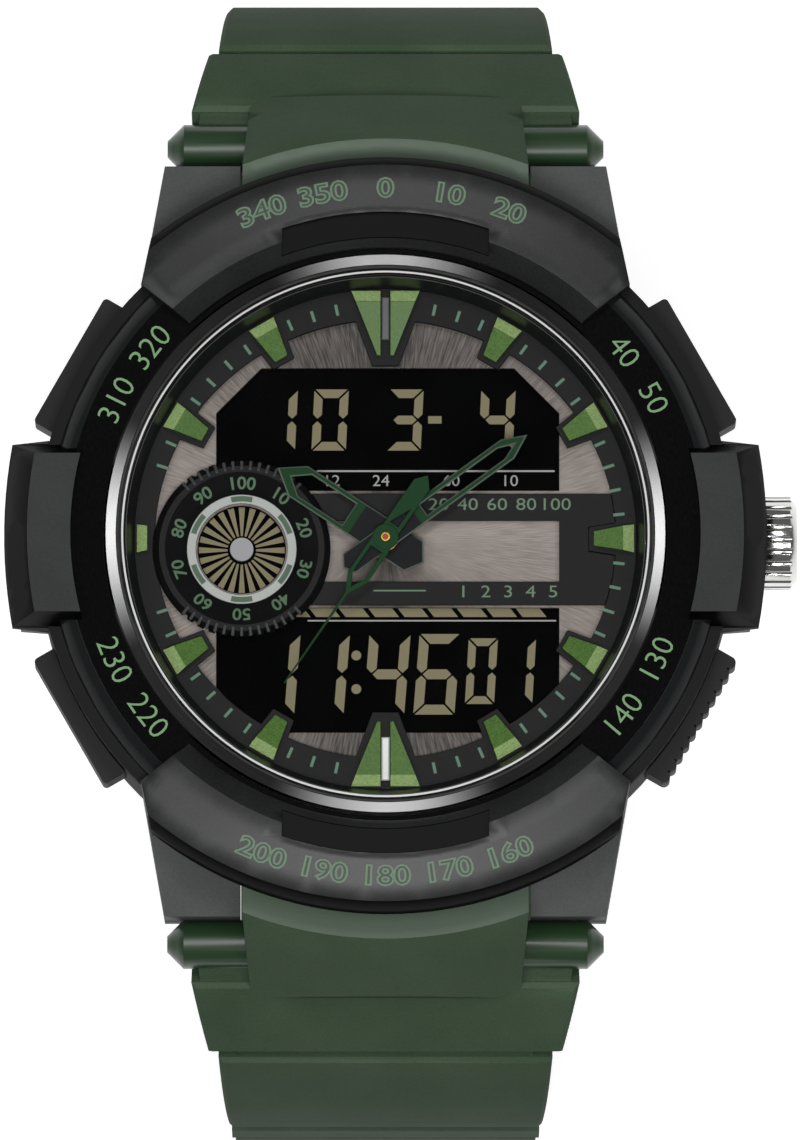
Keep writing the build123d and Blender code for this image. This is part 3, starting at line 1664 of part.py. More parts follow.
def main():
    guard = make_end_guard()
    side_guard = make_side_guard()
    spring_bar = make_spring_bar()
    nodes = {
        "mid_case": make_mid_case(),
        "case_back": make_case_back(),
        "case_back_screws": make_case_back_screws(),
        "case_back_gasket": make_case_back_gasket(),
        "gloss_ring": make_gloss_ring(),
        "crystal_ring": make_crystal_ring(),
        "crystal_gasket": make_crystal_gasket(),
        "crystal": make_crystal(),
        "guard_12": guard,
        "guard_6": Rot(0, 0, 180) * guard,
        "guard_3": side_guard,
        "guard_9": Rot(0, 0, 180) * side_guard,
        "pusher_seals": make_pusher_seals(),
        "crown": make_crown(),
        "crown_stem": make_crown_stem(),
        "crown_tube": make_crown_tube(),
        "crown_seal": make_crown_seal(),
        "setting_lever": make_setting_lever(),
        "dial_plate": make_dial_plate(),
        "chapter_ring": make_chapter_ring(),
        "hour_markers": make_hour_markers(),
        "flange_ring": make_flange_ring(),
        "dial_bracket": make_dial_bracket(),
        "subdial_ring": make_subdial_ring(),
        "subdial_trim": make_subdial_trim(),
        "subdial_cap": make_subdial_cap(),
        "hour_hand": make_hour_hand(),
        "hour_wheel": make_hour_wheel(),
        "minute_hand": make_minute_hand(),
        "cannon_pinion": make_cannon_pinion(),
        "minute_wheel": make_minute_wheel(),
        "second_hand": make_second_hand(),
        "second_arbor": make_second_arbor(),
        "module_frame": make_module_frame(),
        "circuit_board": make_circuit_board(),
        "battery": make_battery(),
        "battery_holder": make_battery_holder(),
        "battery_clip": make_battery_clip(),
        "buzzer": make_buzzer(),
        "backlight_panel": make_backlight(),
        "lcd_panel": make_lcd_panel(),
        "lcd_connectors": make_lcd_connectors(),
        "motor_coils": make_coils(),
        "motor_cores": make_coil_cores(),
        "strap_long": make_strap_long(),
        "strap_short": make_strap_short(),
        "spring_bars": as_one([spring_bar, Rot(0, 0, 180) * spring_bar]),
        "buckle_bar": make_buckle_bar(),
        "buckle_frame": make_buckle_frame(),
        "buckle_tongue": make_buckle_tongue(),
        "keeper_fixed": make_keeper_fixed(),
        "keeper_sliding": make_keeper_sliding(),
    }
    names = ["start", "reset", "light", "mode"]
    plain = make_pusher()
    toothed = make_pusher(toothed=True)
    for name, angle in zip(names, pusher_angles()):
        turn = Rot(0, 0, angle)
        pusher = toothed if name == "reset" else plain
        nodes[name + "_pusher"] = as_one([turn * pusher, turn * make_pusher_clip()])
        nodes[name + "_spring"] = turn * make_pusher_spring()
    for name, shape in nodes.items():
        export_step(shape, "parts/" + name + ".step")
        print(name, len(shape.solids()), round(shape.volume, 3))


main()
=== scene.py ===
"""Looks of the ana-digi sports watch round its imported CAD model.

Lengths are written in millimetres and turned to metres when a piece is finished.
The dial faces +Z, 12 o'clock is +Y and the crown is at +X.
"""
import math

import bmesh
import bpy
from mathutils import Matrix, Vector


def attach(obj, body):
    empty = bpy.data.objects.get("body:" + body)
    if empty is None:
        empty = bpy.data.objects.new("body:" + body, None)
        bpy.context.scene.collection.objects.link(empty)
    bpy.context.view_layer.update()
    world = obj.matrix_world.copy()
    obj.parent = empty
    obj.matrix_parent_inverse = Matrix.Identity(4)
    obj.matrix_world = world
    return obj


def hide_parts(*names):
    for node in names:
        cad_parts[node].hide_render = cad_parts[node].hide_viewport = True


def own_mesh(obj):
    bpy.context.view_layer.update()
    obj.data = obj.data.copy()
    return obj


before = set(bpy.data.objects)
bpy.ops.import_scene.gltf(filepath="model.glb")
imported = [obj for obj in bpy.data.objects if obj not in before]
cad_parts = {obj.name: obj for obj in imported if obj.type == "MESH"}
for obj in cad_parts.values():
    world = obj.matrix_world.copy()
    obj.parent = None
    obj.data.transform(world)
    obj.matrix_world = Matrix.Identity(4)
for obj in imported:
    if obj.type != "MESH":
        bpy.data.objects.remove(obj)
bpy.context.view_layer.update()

MM = 0.001

# Camera: the height of the picture is measured at the ring round the crystal
picture_height = 76.0
camera_tilt = 4.8           # degrees from straight above, towards 6 o'clock
camera_aim = (0.97, -2.41, 14.2)
camera_distance = 2500.0
camera_sensor = 36.0
camera_near = 0.1           # metres
camera_far = 10.0           # metres

# Floor, world and lamps: place and side of a lamp in millimetres, its power in watts
floor_z = -58.35
floor_half = 12.0           # metres, so that it reaches far in low views too
floor_glow = 0.6            # what makes the pale floor white to the camera
world_light = 0.15
lamps = {
    "key_left": ((-230, -40, 590), 200, 0.8),
    "key_right": ((230, -40, 590), 200, 0.7),
    "key_front": ((0, -120, 610), 120, 1.5),
    "key_back": ((0, 200, 600), 120, 0.7),
}

# Heights of the faces that carry prints
ink = 0.02                  # thickness of a print
ring_top = 14.2
chapter_top = 10.3
bracket_top = 10.1
lcd_top = 8.95

# Dial
hour_step = 30              # degrees
minute_step = 6             # degrees
tick_inner = 15.3
tick_outer = 16.05
tick_half = 0.1
marker_clear = 4            # degrees on each side of a marker with no tick
twin_clear = 8              # the same for the twin markers at 12 and 6
small_dial_clear = 14       # the same for the small dial at 9
outward_start = 7.0         # a facet's outward lean times its radius, where its painted highlight starts
outward_full = 8.0          # the same, where the painted highlight is full
subdial_x = -9.6
subdial_y = -0.65
subdial_inner_radius = 3.69
subdial_inner_z = 9.85
subdial_face_radius = 5.13
subdial_top = 10.6
subdial_trim_top = 9.85
fan_inner = 0.95
fan_outer = 2.88
fan_count = 24
fan_share = 0.56            # of the pitch that a blade fills
dash_count = 6
dash_angle = 24             # degrees that a green dash spans
dash_inner = 3.2
dash_outer = 3.56
dash_steps = 8              # straight pieces along a dash
strip_half = 0.28           # strips between the twin markers
strip_inner = 13.3
strip_outer = 16.2
strip_height = 0.3
strip_bevel = 0.08

# Ribs across the sloping rim of the small dial
subdial_outer_radius = 5.93
rib_count = 15              # above the dial, and as many below
rib_step = 6.0              # degrees
rib_width = 0.22
rib_bevel = 0.04
rib_lean = 24               # degrees
rib_inner_gap = 0.1         # shares of the rim's width left free at a rib's ends
rib_outer_gap = 0.08
rib_height_share = 0.75     # of the rim's fall
rib_sink_share = 0.42       # of the rim's fall, from its top to a rib's middle

# Numbers: the height of their digits, their stretch across and what their lines gain or lose
guard_number_height = 1.25
ring_number_height = 1.5
ring_number_radius = 20.0
dial_number_height = 0.8
dial_number_inset = 0.05    # from the middle of the small dial's sloping face
glass_number_height = 0.75
wide_digits = 1.25
broad_digits = 1.1
outline_weight = 0.09
bold_weight = 0.02
thin_weight = -0.02
digit_share = 0.7           # height of a digit over the size of its font
joined_points = 0.0005      # points of a digit nearer than this are one

# Rows of small numbers and lines: x runs to the right, and y up the dial
bracket_rows = (
    {"texts": ("0", "20", "40", "60", "80", "100"), "left": 1.6, "pitch": 1.95, "y": 2.3},
    {"texts": ("1", "2", "3", "4", "5"), "left": 5.2, "pitch": 1.5, "y": -3.55},
)
bracket_line = {"left": -0.8, "right": 2.7, "low": -3.5, "high": -3.4}
glass_numbers = (("12", -3.6), ("24", -0.3), ("60", 4.4), ("10", 8.3))
glass_number_y = 3.98
glass_lines = (
    {"left": -4.6, "right": 11.3, "low": 4.6, "high": 4.72},
    {"left": -5.2, "right": 11.4, "low": -5.42, "high": -5.32},
)

# Digits of the displays: each digit with its left edge, and the shape of a row
upper_digits = (("1", -8.35), ("0", -4.95), ("3", 0.05), ("4", 6.2))
upper_shape = {"bottom": 6.04, "width": 2.3, "height": 4.1, "bar": 0.58, "slant": 0.05}
lower_digits = (("1", -8.85), ("1", -5.55), ("4", -1.5), ("6", 1.85))
lower_shape = {"bottom": -11.66, "width": 2.75, "height": 5.4, "bar": 0.66, "slant": 0.08}
small_digits = (("0", 5.3), ("1", 7.85))
small_shape = {"bottom": -10.95, "width": 1.95, "height": 4.4, "bar": 0.52, "slant": 0.06}
segment_gap = 0.09
upper_dash = {"left": 2.85, "right": 3.75, "low": 7.85, "high": 8.35}
dot_radius = 0.33
dot_x = -1.95
dot_heights = (-9.95, -7.7)
dot_sides = 24
graph_count = 9
graph_left = -6.6
graph_pitch = 1.97
graph_width = 1.6
graph_low = -5.12
graph_high = -4.4
graph_slant = -0.8          # run over rise

# Case, guards and strap
case_radius = 23.3
guard_top = 15.8            # of a curved guard at its crest
guard_crest_radius = 20.6
guard_edge_radius = 24.65
guard_fall = 0.45           # from the crest out to the edge
guard_slope = -guard_fall / (guard_edge_radius - guard_crest_radius)
guard_number_radius = 23.0
guard_number_step = 10.5    # degrees
recess_inner = 19.75
recess_outer = 21.45
recess_half_width = 6.9
recess_step = 0.1           # what lies this far below the crest is in the recess
facet_level = 0.97          # a side guard's face that is less level than this is a facet, painted darker as shade
gloss_slope_level = 0.95    # the same for the gloss ring's sloping edge, which is painted paler as a highlight
glass_line_inner = 17.48    # painted highlight: a bright line near the edge of the crystal
glass_line_outer = 17.62
glass_line_cover = 0.8      # share of the dial that the line hides
glass_haze = 0.025          # share that the rest of the crystal hides
hinge_y = 26.7
hinge_z = 4.2
barrel_radius = 1.65
block_crest_radius = 26.8   # within it, seen from above, the strap is painted paler: a painted highlight on its crest
resin_relief = 0.8          # strength of the grain of moulded resin

# Edges that are softened, and by how much
case_edge = 0.1
pusher_edge = 0.06
dial_edge = 0.04
soft_edge_angle = 40        # degrees: only edges sharper than this are softened
weld_gap = 0.002            # corners of a mesh nearer than this are one

# Coils of the two motors
coil_angle = -35            # degrees
coil_wire_pitch = 0.12

# Return springs of the four buttons
button_angles = {"start": 29.9, "light": 150.1, "mode": 209.9, "reset": -29.9}
button_axis_z = 6.5
spring_floor = 19.6         # radius where a spring stands in its bore
spring_end_gap = 0.16       # from there to the middle of the wire
spring_length = 2.23
spring_coil_radius = 1.0
spring_wire_radius = 0.14
spring_wire_sides = 10
spring_turns = 4
spring_turn_steps = 24

# Hands: the angles run clockwise from 12, and a bottom is the height of the lower face
hand_thickness = 0.2
hour_hand_bottom = 10.9
minute_hand_bottom = 11.42
second_hand_bottom = 11.94
second_thickness = 0.15
hour_angle = 303.2
minute_angle = 54.0
second_angle = 214.6
hour_length = 8.6
hour_half = 1.2
hour_foot = 2.25
hour_tail = 3.05
hour_bore = 0.87
minute_length = 11.7
minute_half = 0.78
minute_foot = 2.5
minute_tail = 3.5
minute_bore = 0.52
hand_rim = 0.36
hand_foot_bar = 0.65
hand_point = 1.63
hand_notch = 1.1
hand_slope_share = 1.5
hand_tail_share = 0.68
second_length = 11.9
second_half = 0.1
second_tip_half = 0.05
second_bore = 0.27
second_hub_radius = 0.87
second_rim = 0.28
second_frame_half = 0.75
second_frame_end = 3.3
second_frame_tip = 4.6
second_tail_length = 5.0
second_tail_half = 0.62
second_tail_point = 0.72
second_opening_share = 0.49
second_bevel_share = 0.3    # of the other hands' bevel
hub_bevel_share = 0.5       # of the other hands' bevel
hub_ring_outer = 0.31
hub_ring_inner = 0.18
hub_ring_height = 0.06
hub_ring_bevel = 0.03
hub_centre_radius = 0.2
hub_centre_height = 0.03
small_sides = 32            # of the second hand's bore and the hub's trim
bore_sides = 40             # of the bores of the other two hands
hub_sides = 48
hand_bevel = 0.09
bevel_rise_share = 0.45     # height of a bevelled rim over its width


# Materials


def linear(hex_colour):
    """An sRGB hex colour as the linear values that a socket takes."""
    parts = [int(hex_colour[index:index + 2], 16) / 255 for index in (1, 3, 5)]
    return [part / 12.92 if part <= 0.04045 else ((part + 0.055) / 1.055) ** 2.4
            for part in parts] + [1.0]


def node(tree, kind, feeds=(), **settings):
    """Adds a node with its settings and returns its outputs. Its inputs are fed with hex
    colours, numbers or other nodes' outputs."""
    made = tree.nodes.new("ShaderNode" + kind)
    for name, value in settings.items():
        setattr(made, name, value)
    for name, value in dict(feeds).items():
        if isinstance(value, bpy.types.NodeSocket):
            tree.links.new(value, made.inputs[name])
        elif isinstance(value, str):
            made.inputs[name].default_value = linear(value)
        else:
            made.inputs[name].default_value = value
    return made.outputs


def new_material(name, **sockets):
    """A material whose Principled shader has these constant values. Returns it with its tree."""
    made = bpy.data.materials.new(name)
    made.use_nodes = True
    shader = made.node_tree.nodes["Principled BSDF"]
    for key, value in sockets.items():
        shader.inputs[key.replace("_", " ")].default_value = value
    return made, made.node_tree, shader


def tint(tree, shader, factor, first, second):
    """Base colour that goes from one colour to another with a factor."""
    colour = node(tree, "Mix", {0: factor, 6: first, 7: second}, data_type="RGBA")[2]
    tree.links.new(colour, shader.inputs["Base Color"])


def vary(tree, target, socket, factor, first, second):
    """Input of a node that goes from one number to another with a factor."""
    value = node(tree, "MapRange", {"Value": factor, "To Min": first, "To Max": second})[0]
    tree.links.new(value, target.inputs[socket])


def relief(tree, shader, pattern, depth, strength):
    """Lets a pattern stand out of the surface by depth millimetres."""
    feeds = {"Height": pattern, "Distance": depth * MM, "Strength": strength}
    tree.links.new(node(tree, "Bump", feeds)[0], shader.inputs["Normal"])


def overlap(tree, *masks):
    """1 where every mask is 1."""
    shared = masks[0]
    for mask in masks[1:]:
        shared = node(tree, "Math", {0: shared, 1: mask}, operation="MULTIPLY")[0]
    return shared


def millimetres(tree):
    """Object coordinates in millimetres."""
    place = node(tree, "TexCoord")["Object"]
    return node(tree, "VectorMath", {0: place, "Scale": 1 / MM}, operation="SCALE")[0]


def in_plan(tree, place):
    """A place moved straight down to the height 0."""
    return node(tree, "VectorMath", {0: place, 1: (1, 1, 0)}, operation="MULTIPLY")[0]


def radius_of(tree, place):
    """Distance of a place from the watch's axis."""
    return node(tree, "VectorMath", {0: in_plan(tree, place)}, operation="LENGTH")["Value"]


def round_axis(tree, place):
    """A place as its radius, its turn from 0 to 1 round the watch's axis, and its height."""
    x, y, z = node(tree, "SeparateXYZ", {0: place})
    angle = node(tree, "Math", {0: y, 1: x}, operation="ARCTAN2")[0]
    feeds = {"Value": angle, "From Min": -math.pi, "From Max": math.pi}
    turn = node(tree, "MapRange", feeds)[0]
    return node(tree, "CombineXYZ", {0: radius_of(tree, place), 1: turn, 2: z})[0]


def rays(tree, place, count):
    """Wave from -1 to 1 with a number of crests round the watch's axis, one of them at 9."""
    turn = node(tree, "SeparateXYZ", {0: round_axis(tree, place)})["Y"]
    angle = node(tree, "Math", {0: turn, 1: count * 2 * math.pi}, operation="MULTIPLY")[0]
    return node(tree, "Math", {0: angle}, operation="COSINE")[0]


def levelness(tree):
    """1 on a face that is level, down to 0 on an upright one."""
    normal = node(tree, "NewGeometry")["True Normal"]
    return node(tree, "SeparateXYZ", {0: normal})["Z"]


def moulded_resin(name, dark, light, grain, roughness, skin=0.25):
    """Matt moulded resin: a spark-eroded grain that breaks up the light, and soft cloudy tone.
    A thin skin of clear resin gives it a soft sheen."""
    made, tree, shader = new_material(name, Specular_IOR_Level=0.0, Coat_Weight=skin,
                                      Coat_Roughness=0.3)
    place = millimetres(tree)
    cloud = node(tree, "TexNoise", {"Vector": place, "Scale": 1 / 6.0, "Detail": 3.0})["Fac"]
    speckle = node(tree, "TexNoise", {"Vector": place, "Scale": 1 / grain, "Detail": 1.0})["Fac"]
    mixed = node(tree, "Mix", {0: 0.4, 2: cloud, 3: speckle})[0]
    tone = node(tree, "MapRange", {"Value": mixed, "From Min": 0.3, "From Max": 0.7})[0]
    tint(tree, shader, tone, dark, light)
    vary(tree, shader, "Roughness", speckle, roughness - 0.06, roughness + 0.06)
    relief(tree, shader, speckle, grain / 6, resin_relief)
    return made


def repaint(material, mask, colour, roughness):
    """Another colour and roughness where the mask is 1."""
    tree = material.node_tree
    shader = tree.nodes["Principled BSDF"]
    old_colour = shader.inputs["Base Color"].links[0].from_socket
    old_roughness = shader.inputs["Roughness"].links[0].from_socket
    tint(tree, shader, mask, old_colour, colour)
    vary(tree, shader, "Roughness", mask, old_roughness, roughness)


def polish_part(material, mask, colour, roughness, skin):
    """Where the mask is 1, the resin is smooth: another colour, no grain, another skin."""
    repaint(material, mask, colour, roughness)
    tree = material.node_tree
    shader = tree.nodes["Principled BSDF"]
    vary(tree, shader, "Coat Weight", mask, shader.inputs["Coat Weight"].default_value, skin)
    grain = shader.inputs["Normal"].links[0].from_node
    vary(tree, grain, "Strength", mask, resin_relief, 0.0)


def case_resin():
    """Black glass-filled resin of the case, with a 0.16 mm spark-eroded grain. Its round rim is
    darker and smoother than its lug ends."""
    made = moulded_resin("moulded_black_resin", "#4b4c4c", "#5a5b5b", 0.16, 0.5)
    tree = made.node_tree
    radius = radius_of(tree, millimetres(tree))
    rim = node(tree, "Math", {0: radius, 1: case_radius + ink}, operation="LESS_THAN")[0]
    polish_part(made, rim, "#060607", 0.4, 0.15)
    return made


def guard_resin():
    """The same resin on the curved guards. The recess is near black; the outer wall is painted
    near black as painted shade.
    """
    made = moulded_resin("moulded_black_resin_dark_recess_painted_shade", "#1b1b1c", "#292a2a", 0.16, 0.4,
                         0.3)
    tree = made.node_tree
    place = millimetres(tree)
    radius = radius_of(tree, place)
    split = node(tree, "SeparateXYZ", {0: place})
    middle = (recess_inner + recess_outer) / 2
    reach = (recess_outer - recess_inner) / 2 + ink
    ring = node(tree, "Math", {0: radius, 1: middle, 2: reach}, operation="COMPARE")[0]
    across = {0: split["X"], 1: 0.0, 2: recess_half_width + ink}
    span = node(tree, "Math", across, operation="COMPARE")[0]
    below = {0: split["Z"], 1: guard_top - recess_step}
    sunk = node(tree, "Math", below, operation="LESS_THAN")[0]
    recess = overlap(tree, ring, span, sunk)
    # painted shade: beyond the guard's edge the outer wall is coloured near black
    beyond = {0: radius, 1: guard_edge_radius - ink}
    painted_wall_shade = node(tree, "Math", beyond, operation="GREATER_THAN")[0]
    dark_recess_and_painted_wall_shade = node(tree, "Math", {0: recess, 1: painted_wall_shade}, operation="MAXIMUM")[0]
    polish_part(made, dark_recess_and_painted_wall_shade, "#080808", 0.3, 0.1)
    return made


def side_guard_resin():
    """Resin of the guards at 3 and 9 o'clock, matt on top, with painted shade on their facets."""
    made = moulded_resin("moulded_dark_resin", "#1c1d1e", "#2b2c2c", 0.16, 0.46)
    tree = made.node_tree
    # painted shade: a facet that is less level gets a darker colour
    painted_facet_shade = node(tree, "Math", {0: levelness(tree), 1: facet_level}, operation="LESS_THAN")[0]
    polish_part(made, painted_facet_shade, "#070707", 0.4, 0.12)
    return made


def pusher_resin():
    """Smooth black resin of the push buttons: satin, with a faint cloudy tone."""
    return moulded_resin("smooth_black_resin", "#0b0b0c", "#141515", 0.2, 0.35)


def strap_resin():
    """Green polyurethane of the strap with a fine grain. The barrel at the case is smooth. Near
    the watch's axis, in the band beside the guards, the strap is painted paler as a highlight."""
    made = moulded_resin("moulded_green_polyurethane", "#384937", "#455543", 0.17, 0.55, 0.1)
    tree = made.node_tree
    place = millimetres(tree)
    # painted highlight: the band nearer the axis than the block's crest is coloured paler
    painted_crest_highlight = {0: radius_of(tree, place), 1: block_crest_radius}
    repaint(made, node(tree, "Math", painted_crest_highlight, operation="LESS_THAN")[0], "#596659", 0.5)
    split = node(tree, "SeparateXYZ", {0: place})
    away = node(tree, "Math", {0: split["Y"]}, operation="ABSOLUTE")[0]
    feeds = {0: node(tree, "CombineXYZ", {"Y": away, "Z": split["Z"]})[0],
             1: (0, hinge_y, hinge_z)}
    reach = node(tree, "VectorMath", feeds, operation="DISTANCE")["Value"]
    barrel = node(tree, "Math", {0: reach, 1: barrel_radius + ink}, operation="LESS_THAN")[0]
    polish_part(made, barrel, "#243a24", 0.3, 1.0)
    return made


def satin_metal(name, dark, light):
    """Satin-plated small part of the dial: pale and even, with a light grain."""
    made, tree, shader = new_material(name, Metallic=0.35)
    feeds = {"Vector": millimetres(tree), "Scale": 1 / 0.12, "Detail": 3.0}
    grain = node(tree, "TexNoise", feeds)["Fac"]
    tint(tree, shader, grain, dark, light)
    vary(tree, shader, "Roughness", grain, 0.4, 0.55)
    relief(tree, shader, grain, 0.01, 0.5)
    return made


def polished_resin():
    """Black resin polished to a gloss, with hairlines that only show in its roughness. Its
    sloping edge is painted a shade paler, a painted highlight where the bevel catches light."""
    made, tree, shader = new_material("polished_black_resin", Specular_IOR_Level=0.12)
    around = round_axis(tree, millimetres(tree))
    streak = node(tree, "VectorMath", {0: around, 1: (1, 40, 0)}, operation="MULTIPLY")[0]
    hairline = node(tree, "TexNoise", {"Vector": streak, "Scale": 1 / 0.12})["Fac"]
    flat = node(tree, "Mix", {0: hairline, 6: "#030303", 7: "#070708"}, data_type="RGBA")[2]
    # painted highlight: the sloping edge gets a paler colour
    feeds = {0: levelness(tree), 1: gloss_slope_level}
    slope = node(tree, "Math", feeds, operation="LESS_THAN")[0]
    tint(tree, shader, slope, flat, "#1c1d1e")
    vary(tree, shader, "Roughness", hairline, 0.08, 0.16)
    return made


def turned_steel(name, dark, light, roughness):
    """Steel turned on a lathe: fine rings round the watch's axis."""
    made, tree, shader = new_material(name, Metallic=1.0, Anisotropic=0.4)
    place = millimetres(tree)
    around = round_axis(tree, place)
    track = node(tree, "VectorMath", {0: around, 1: (1, 3, 1)}, operation="MULTIPLY")[0]
    ring = node(tree, "TexNoise", {"Vector": track, "Scale": 1 / 0.08, "Detail": 3.0})["Fac"]
    patch = node(tree, "TexNoise", {"Vector": place, "Scale": 1 / 5.0})["Fac"]
    tint(tree, shader, ring, dark, light)
    vary(tree, shader, "Roughness", patch, roughness - 0.04, roughness + 0.06)
    relief(tree, shader, ring, 0.002, 0.4)
    return made


def dark_turned_steel():
    """Dark plated ring round the crystal, with painted highlights: its colour is painted pale at
    12, 3, 6 and 9 o'clock, where it would reflect the lamps, and dark between them."""
    made = turned_steel("dark_plated_steel", "#101010", "#1b1b1b", 0.28)
    tree = made.node_tree
    shader = tree.nodes["Principled BSDF"]
    four_painted_highlights = rays(tree, millimetres(tree), 4)
    # painted highlight: the base colour is paler at 12, 3, 6 and 9 o'clock
    painted_highlight = node(tree, "MapRange", {"Value": four_painted_highlights, "From Min": -0.2})[0]
    pale = node(tree, "Mix", {0: painted_highlight, 6: "#151515", 7: "#8c8c8c"}, data_type="RGBA")[2]
    tint(tree, shader, painted_highlight, shader.inputs["Base Color"].links[0].from_socket, pale)
    return made


def back_steel():
    """Case back of bare steel."""
    return turned_steel("turned_stainless_steel", "#a3a3a1", "#bdbdba", 0.3)


def polished_steel():
    """Polished stainless steel of crown and buckle: clear reflections, faint wear in the gloss."""
    made, tree, shader = new_material("polished_stainless_steel", Metallic=1.0)
    feeds = {"Vector": millimetres(tree), "Scale": 1 / 1.2, "Detail": 4.0}
    wear = node(tree, "TexNoise", feeds)["Fac"]
    tint(tree, shader, wear, "#bfbfbd", "#d0d0cd")
    vary(tree, shader, "Roughness", wear, 0.08, 0.2)
    return made


def mineral_glass():
    """Coated mineral glass: almost clear, with a painted highlight, a bright line near its edge.
    """
    made, tree, shader = new_material("coated_mineral_glass", IOR=1.5, Roughness=0.03)
    radius = radius_of(tree, millimetres(tree))
    # painted highlight: a bright ring of colour near the crystal's edge
    inner = {"Value": radius, "From Min": glass_line_inner - ink,
             "From Max": glass_line_inner + ink}
    outer = {"Value": radius, "From Min": glass_line_outer - ink,
             "From Max": glass_line_outer + ink, "To Min": 1.0, "To Max": 0.0}
    line = overlap(tree, node(tree, "MapRange", inner)[0], node(tree, "MapRange", outer)[0])
    tint(tree, shader, line, "#0c0f10", "#f4f4f2")
    cover = {0: line, 1: glass_line_cover, 2: glass_haze}
    alpha = node(tree, "Math", cover, operation="MULTIPLY_ADD")[0]
    tree.links.new(alpha, shader.inputs["Alpha"])
    return made


def black_rubber():
    """Nitrile rubber of the seals: deep black with a bloom of dust."""
    made, tree, shader = new_material("nitrile_rubber", IOR=1.52)
    feeds = {"Vector": millimetres(tree), "Scale": 1 / 0.9, "Detail": 3.0}
    bloom = node(tree, "TexNoise", feeds)["Fac"]
    tint(tree, shader, bloom, "#0d0d0e", "#191a1a")
    vary(tree, shader, "Roughness", bloom, 0.55, 0.8)
    return made


def brushed_dial():
    """Dial plate of nickel silver, brushed out from the centre, which makes rays of light. Its
    colour is painted brighter towards 3 and 9 than towards 12 and 6, a painted highlight."""
    made, tree, shader = new_material("sunray_brushed_nickel_silver", Metallic=0.15,
                                      Specular_IOR_Level=0.2, Anisotropic=0.7,
                                      Anisotropic_Rotation=0.25)
    place = millimetres(tree)
    around = round_axis(tree, place)
    fine = node(tree, "VectorMath", {0: around, 1: (0.06, 60, 0)}, operation="MULTIPLY")[0]
    wide = node(tree, "VectorMath", {0: around, 1: (0.02, 9, 0)}, operation="MULTIPLY")[0]
    stroke = node(tree, "TexNoise", {"Vector": fine, "Scale": 1 / 0.09, "Detail": 4.0})["Fac"]
    patch = node(tree, "TexNoise", {"Vector": wide, "Scale": 1 / 0.6})["Fac"]
    mixed = node(tree, "Mix", {0: 0.35, 2: stroke, 3: patch})[0]
    tone = node(tree, "MapRange", {"Value": mixed, "From Min": 0.35, "From Max": 0.65})[0]
    # painted highlight: the colour is brighter towards 3 and 9 o'clock
    feeds = {"Value": rays(tree, place, 2), "From Min": -1.0, "To Min": -0.12, "To Max": 0.5}
    painted_sunray_highlight = node(tree, "MapRange", feeds)[0]
    grain_and_painted_highlight = node(tree, "Math", {0: tone, 1: 0.5, 2: painted_sunray_highlight}, operation="MULTIPLY_ADD")[0]
    tint(tree, shader, grain_and_painted_highlight, "#1a1512", "#968d87")
    vary(tree, shader, "Roughness", stroke, 0.3, 0.5)
    tangent = node(tree, "Tangent", direction_type="RADIAL", axis="Z")[0]
    tree.links.new(tangent, shader.inputs["Tangent"])
    relief(tree, shader, stroke, 0.012, 0.6)
    return made


def dial_lacquer():
    """Matt black lacquer of the chapter ring, the bracket and the small dial."""
    made, tree, shader = new_material("matt_black_lacquer", Specular_IOR_Level=0.1)
    place = millimetres(tree)
    grain = node(tree, "TexNoise", {"Vector": place, "Scale": 1 / 0.11, "Detail": 1.0})["Fac"]
    cloud = node(tree, "TexNoise", {"Vector": place, "Scale": 1 / 2.5})["Fac"]
    tint(tree, shader, cloud, "#0b0b0c", "#131314")
    vary(tree, shader, "Roughness", grain, 0.38, 0.52)
    relief(tree, shader, grain, 0.012, 0.5)
    return made


def flange_lacquer():
    """Satin grey lacquer on the sloping ring under the crystal."""
    made, tree, shader = new_material("satin_grey_lacquer", Metallic=0.4)
    grain = node(tree, "TexNoise", {"Vector": millimetres(tree), "Scale": 1 / 0.1})["Fac"]
    tint(tree, shader, grain, "#1d1e1f", "#28292a")
    vary(tree, shader, "Roughness", grain, 0.35, 0.5)
    return made


def marker_lacquer():
    """Green lacquer with metal flakes on the hour markers. Each flake takes light by itself,
    and the facets that face outwards are painted a paler green, a painted highlight."""
    made, tree, shader = new_material("flake_green_lacquer", Specular_IOR_Level=0.2,
                                      Coat_Weight=0.04, Coat_Roughness=0.25)
    place = millimetres(tree)
    flakes = node(tree, "TexVoronoi", {"Vector": place, "Scale": 1 / 0.07}, feature="F1")
    flake = node(tree, "SeparateColor", {0: flakes["Color"]})[0]
    facing = {0: node(tree, "NewGeometry")["True Normal"], 1: in_plan(tree, place)}
    outward = node(tree, "VectorMath", facing, operation="DOT_PRODUCT")["Value"]
    # painted highlight: facets that face outwards get a paler green
    painted_highlight_range = {"Value": outward, "From Min": outward_start, "From Max": outward_full}
    outer = node(tree, "MapRange", painted_highlight_range)[0]
    deep = node(tree, "Mix", {0: flake, 6: "#37561e", 7: "#527732"}, data_type="RGBA")[2]
    pale = node(tree, "Mix", {0: flake, 6: "#7f9d5e", 7: "#a5be82"}, data_type="RGBA")[2]
    tint(tree, shader, outer, deep, pale)
    vary(tree, shader, "Roughness", flake, 0.35, 0.55)
    relief(tree, shader, flake, 0.01, 0.5)
    return made


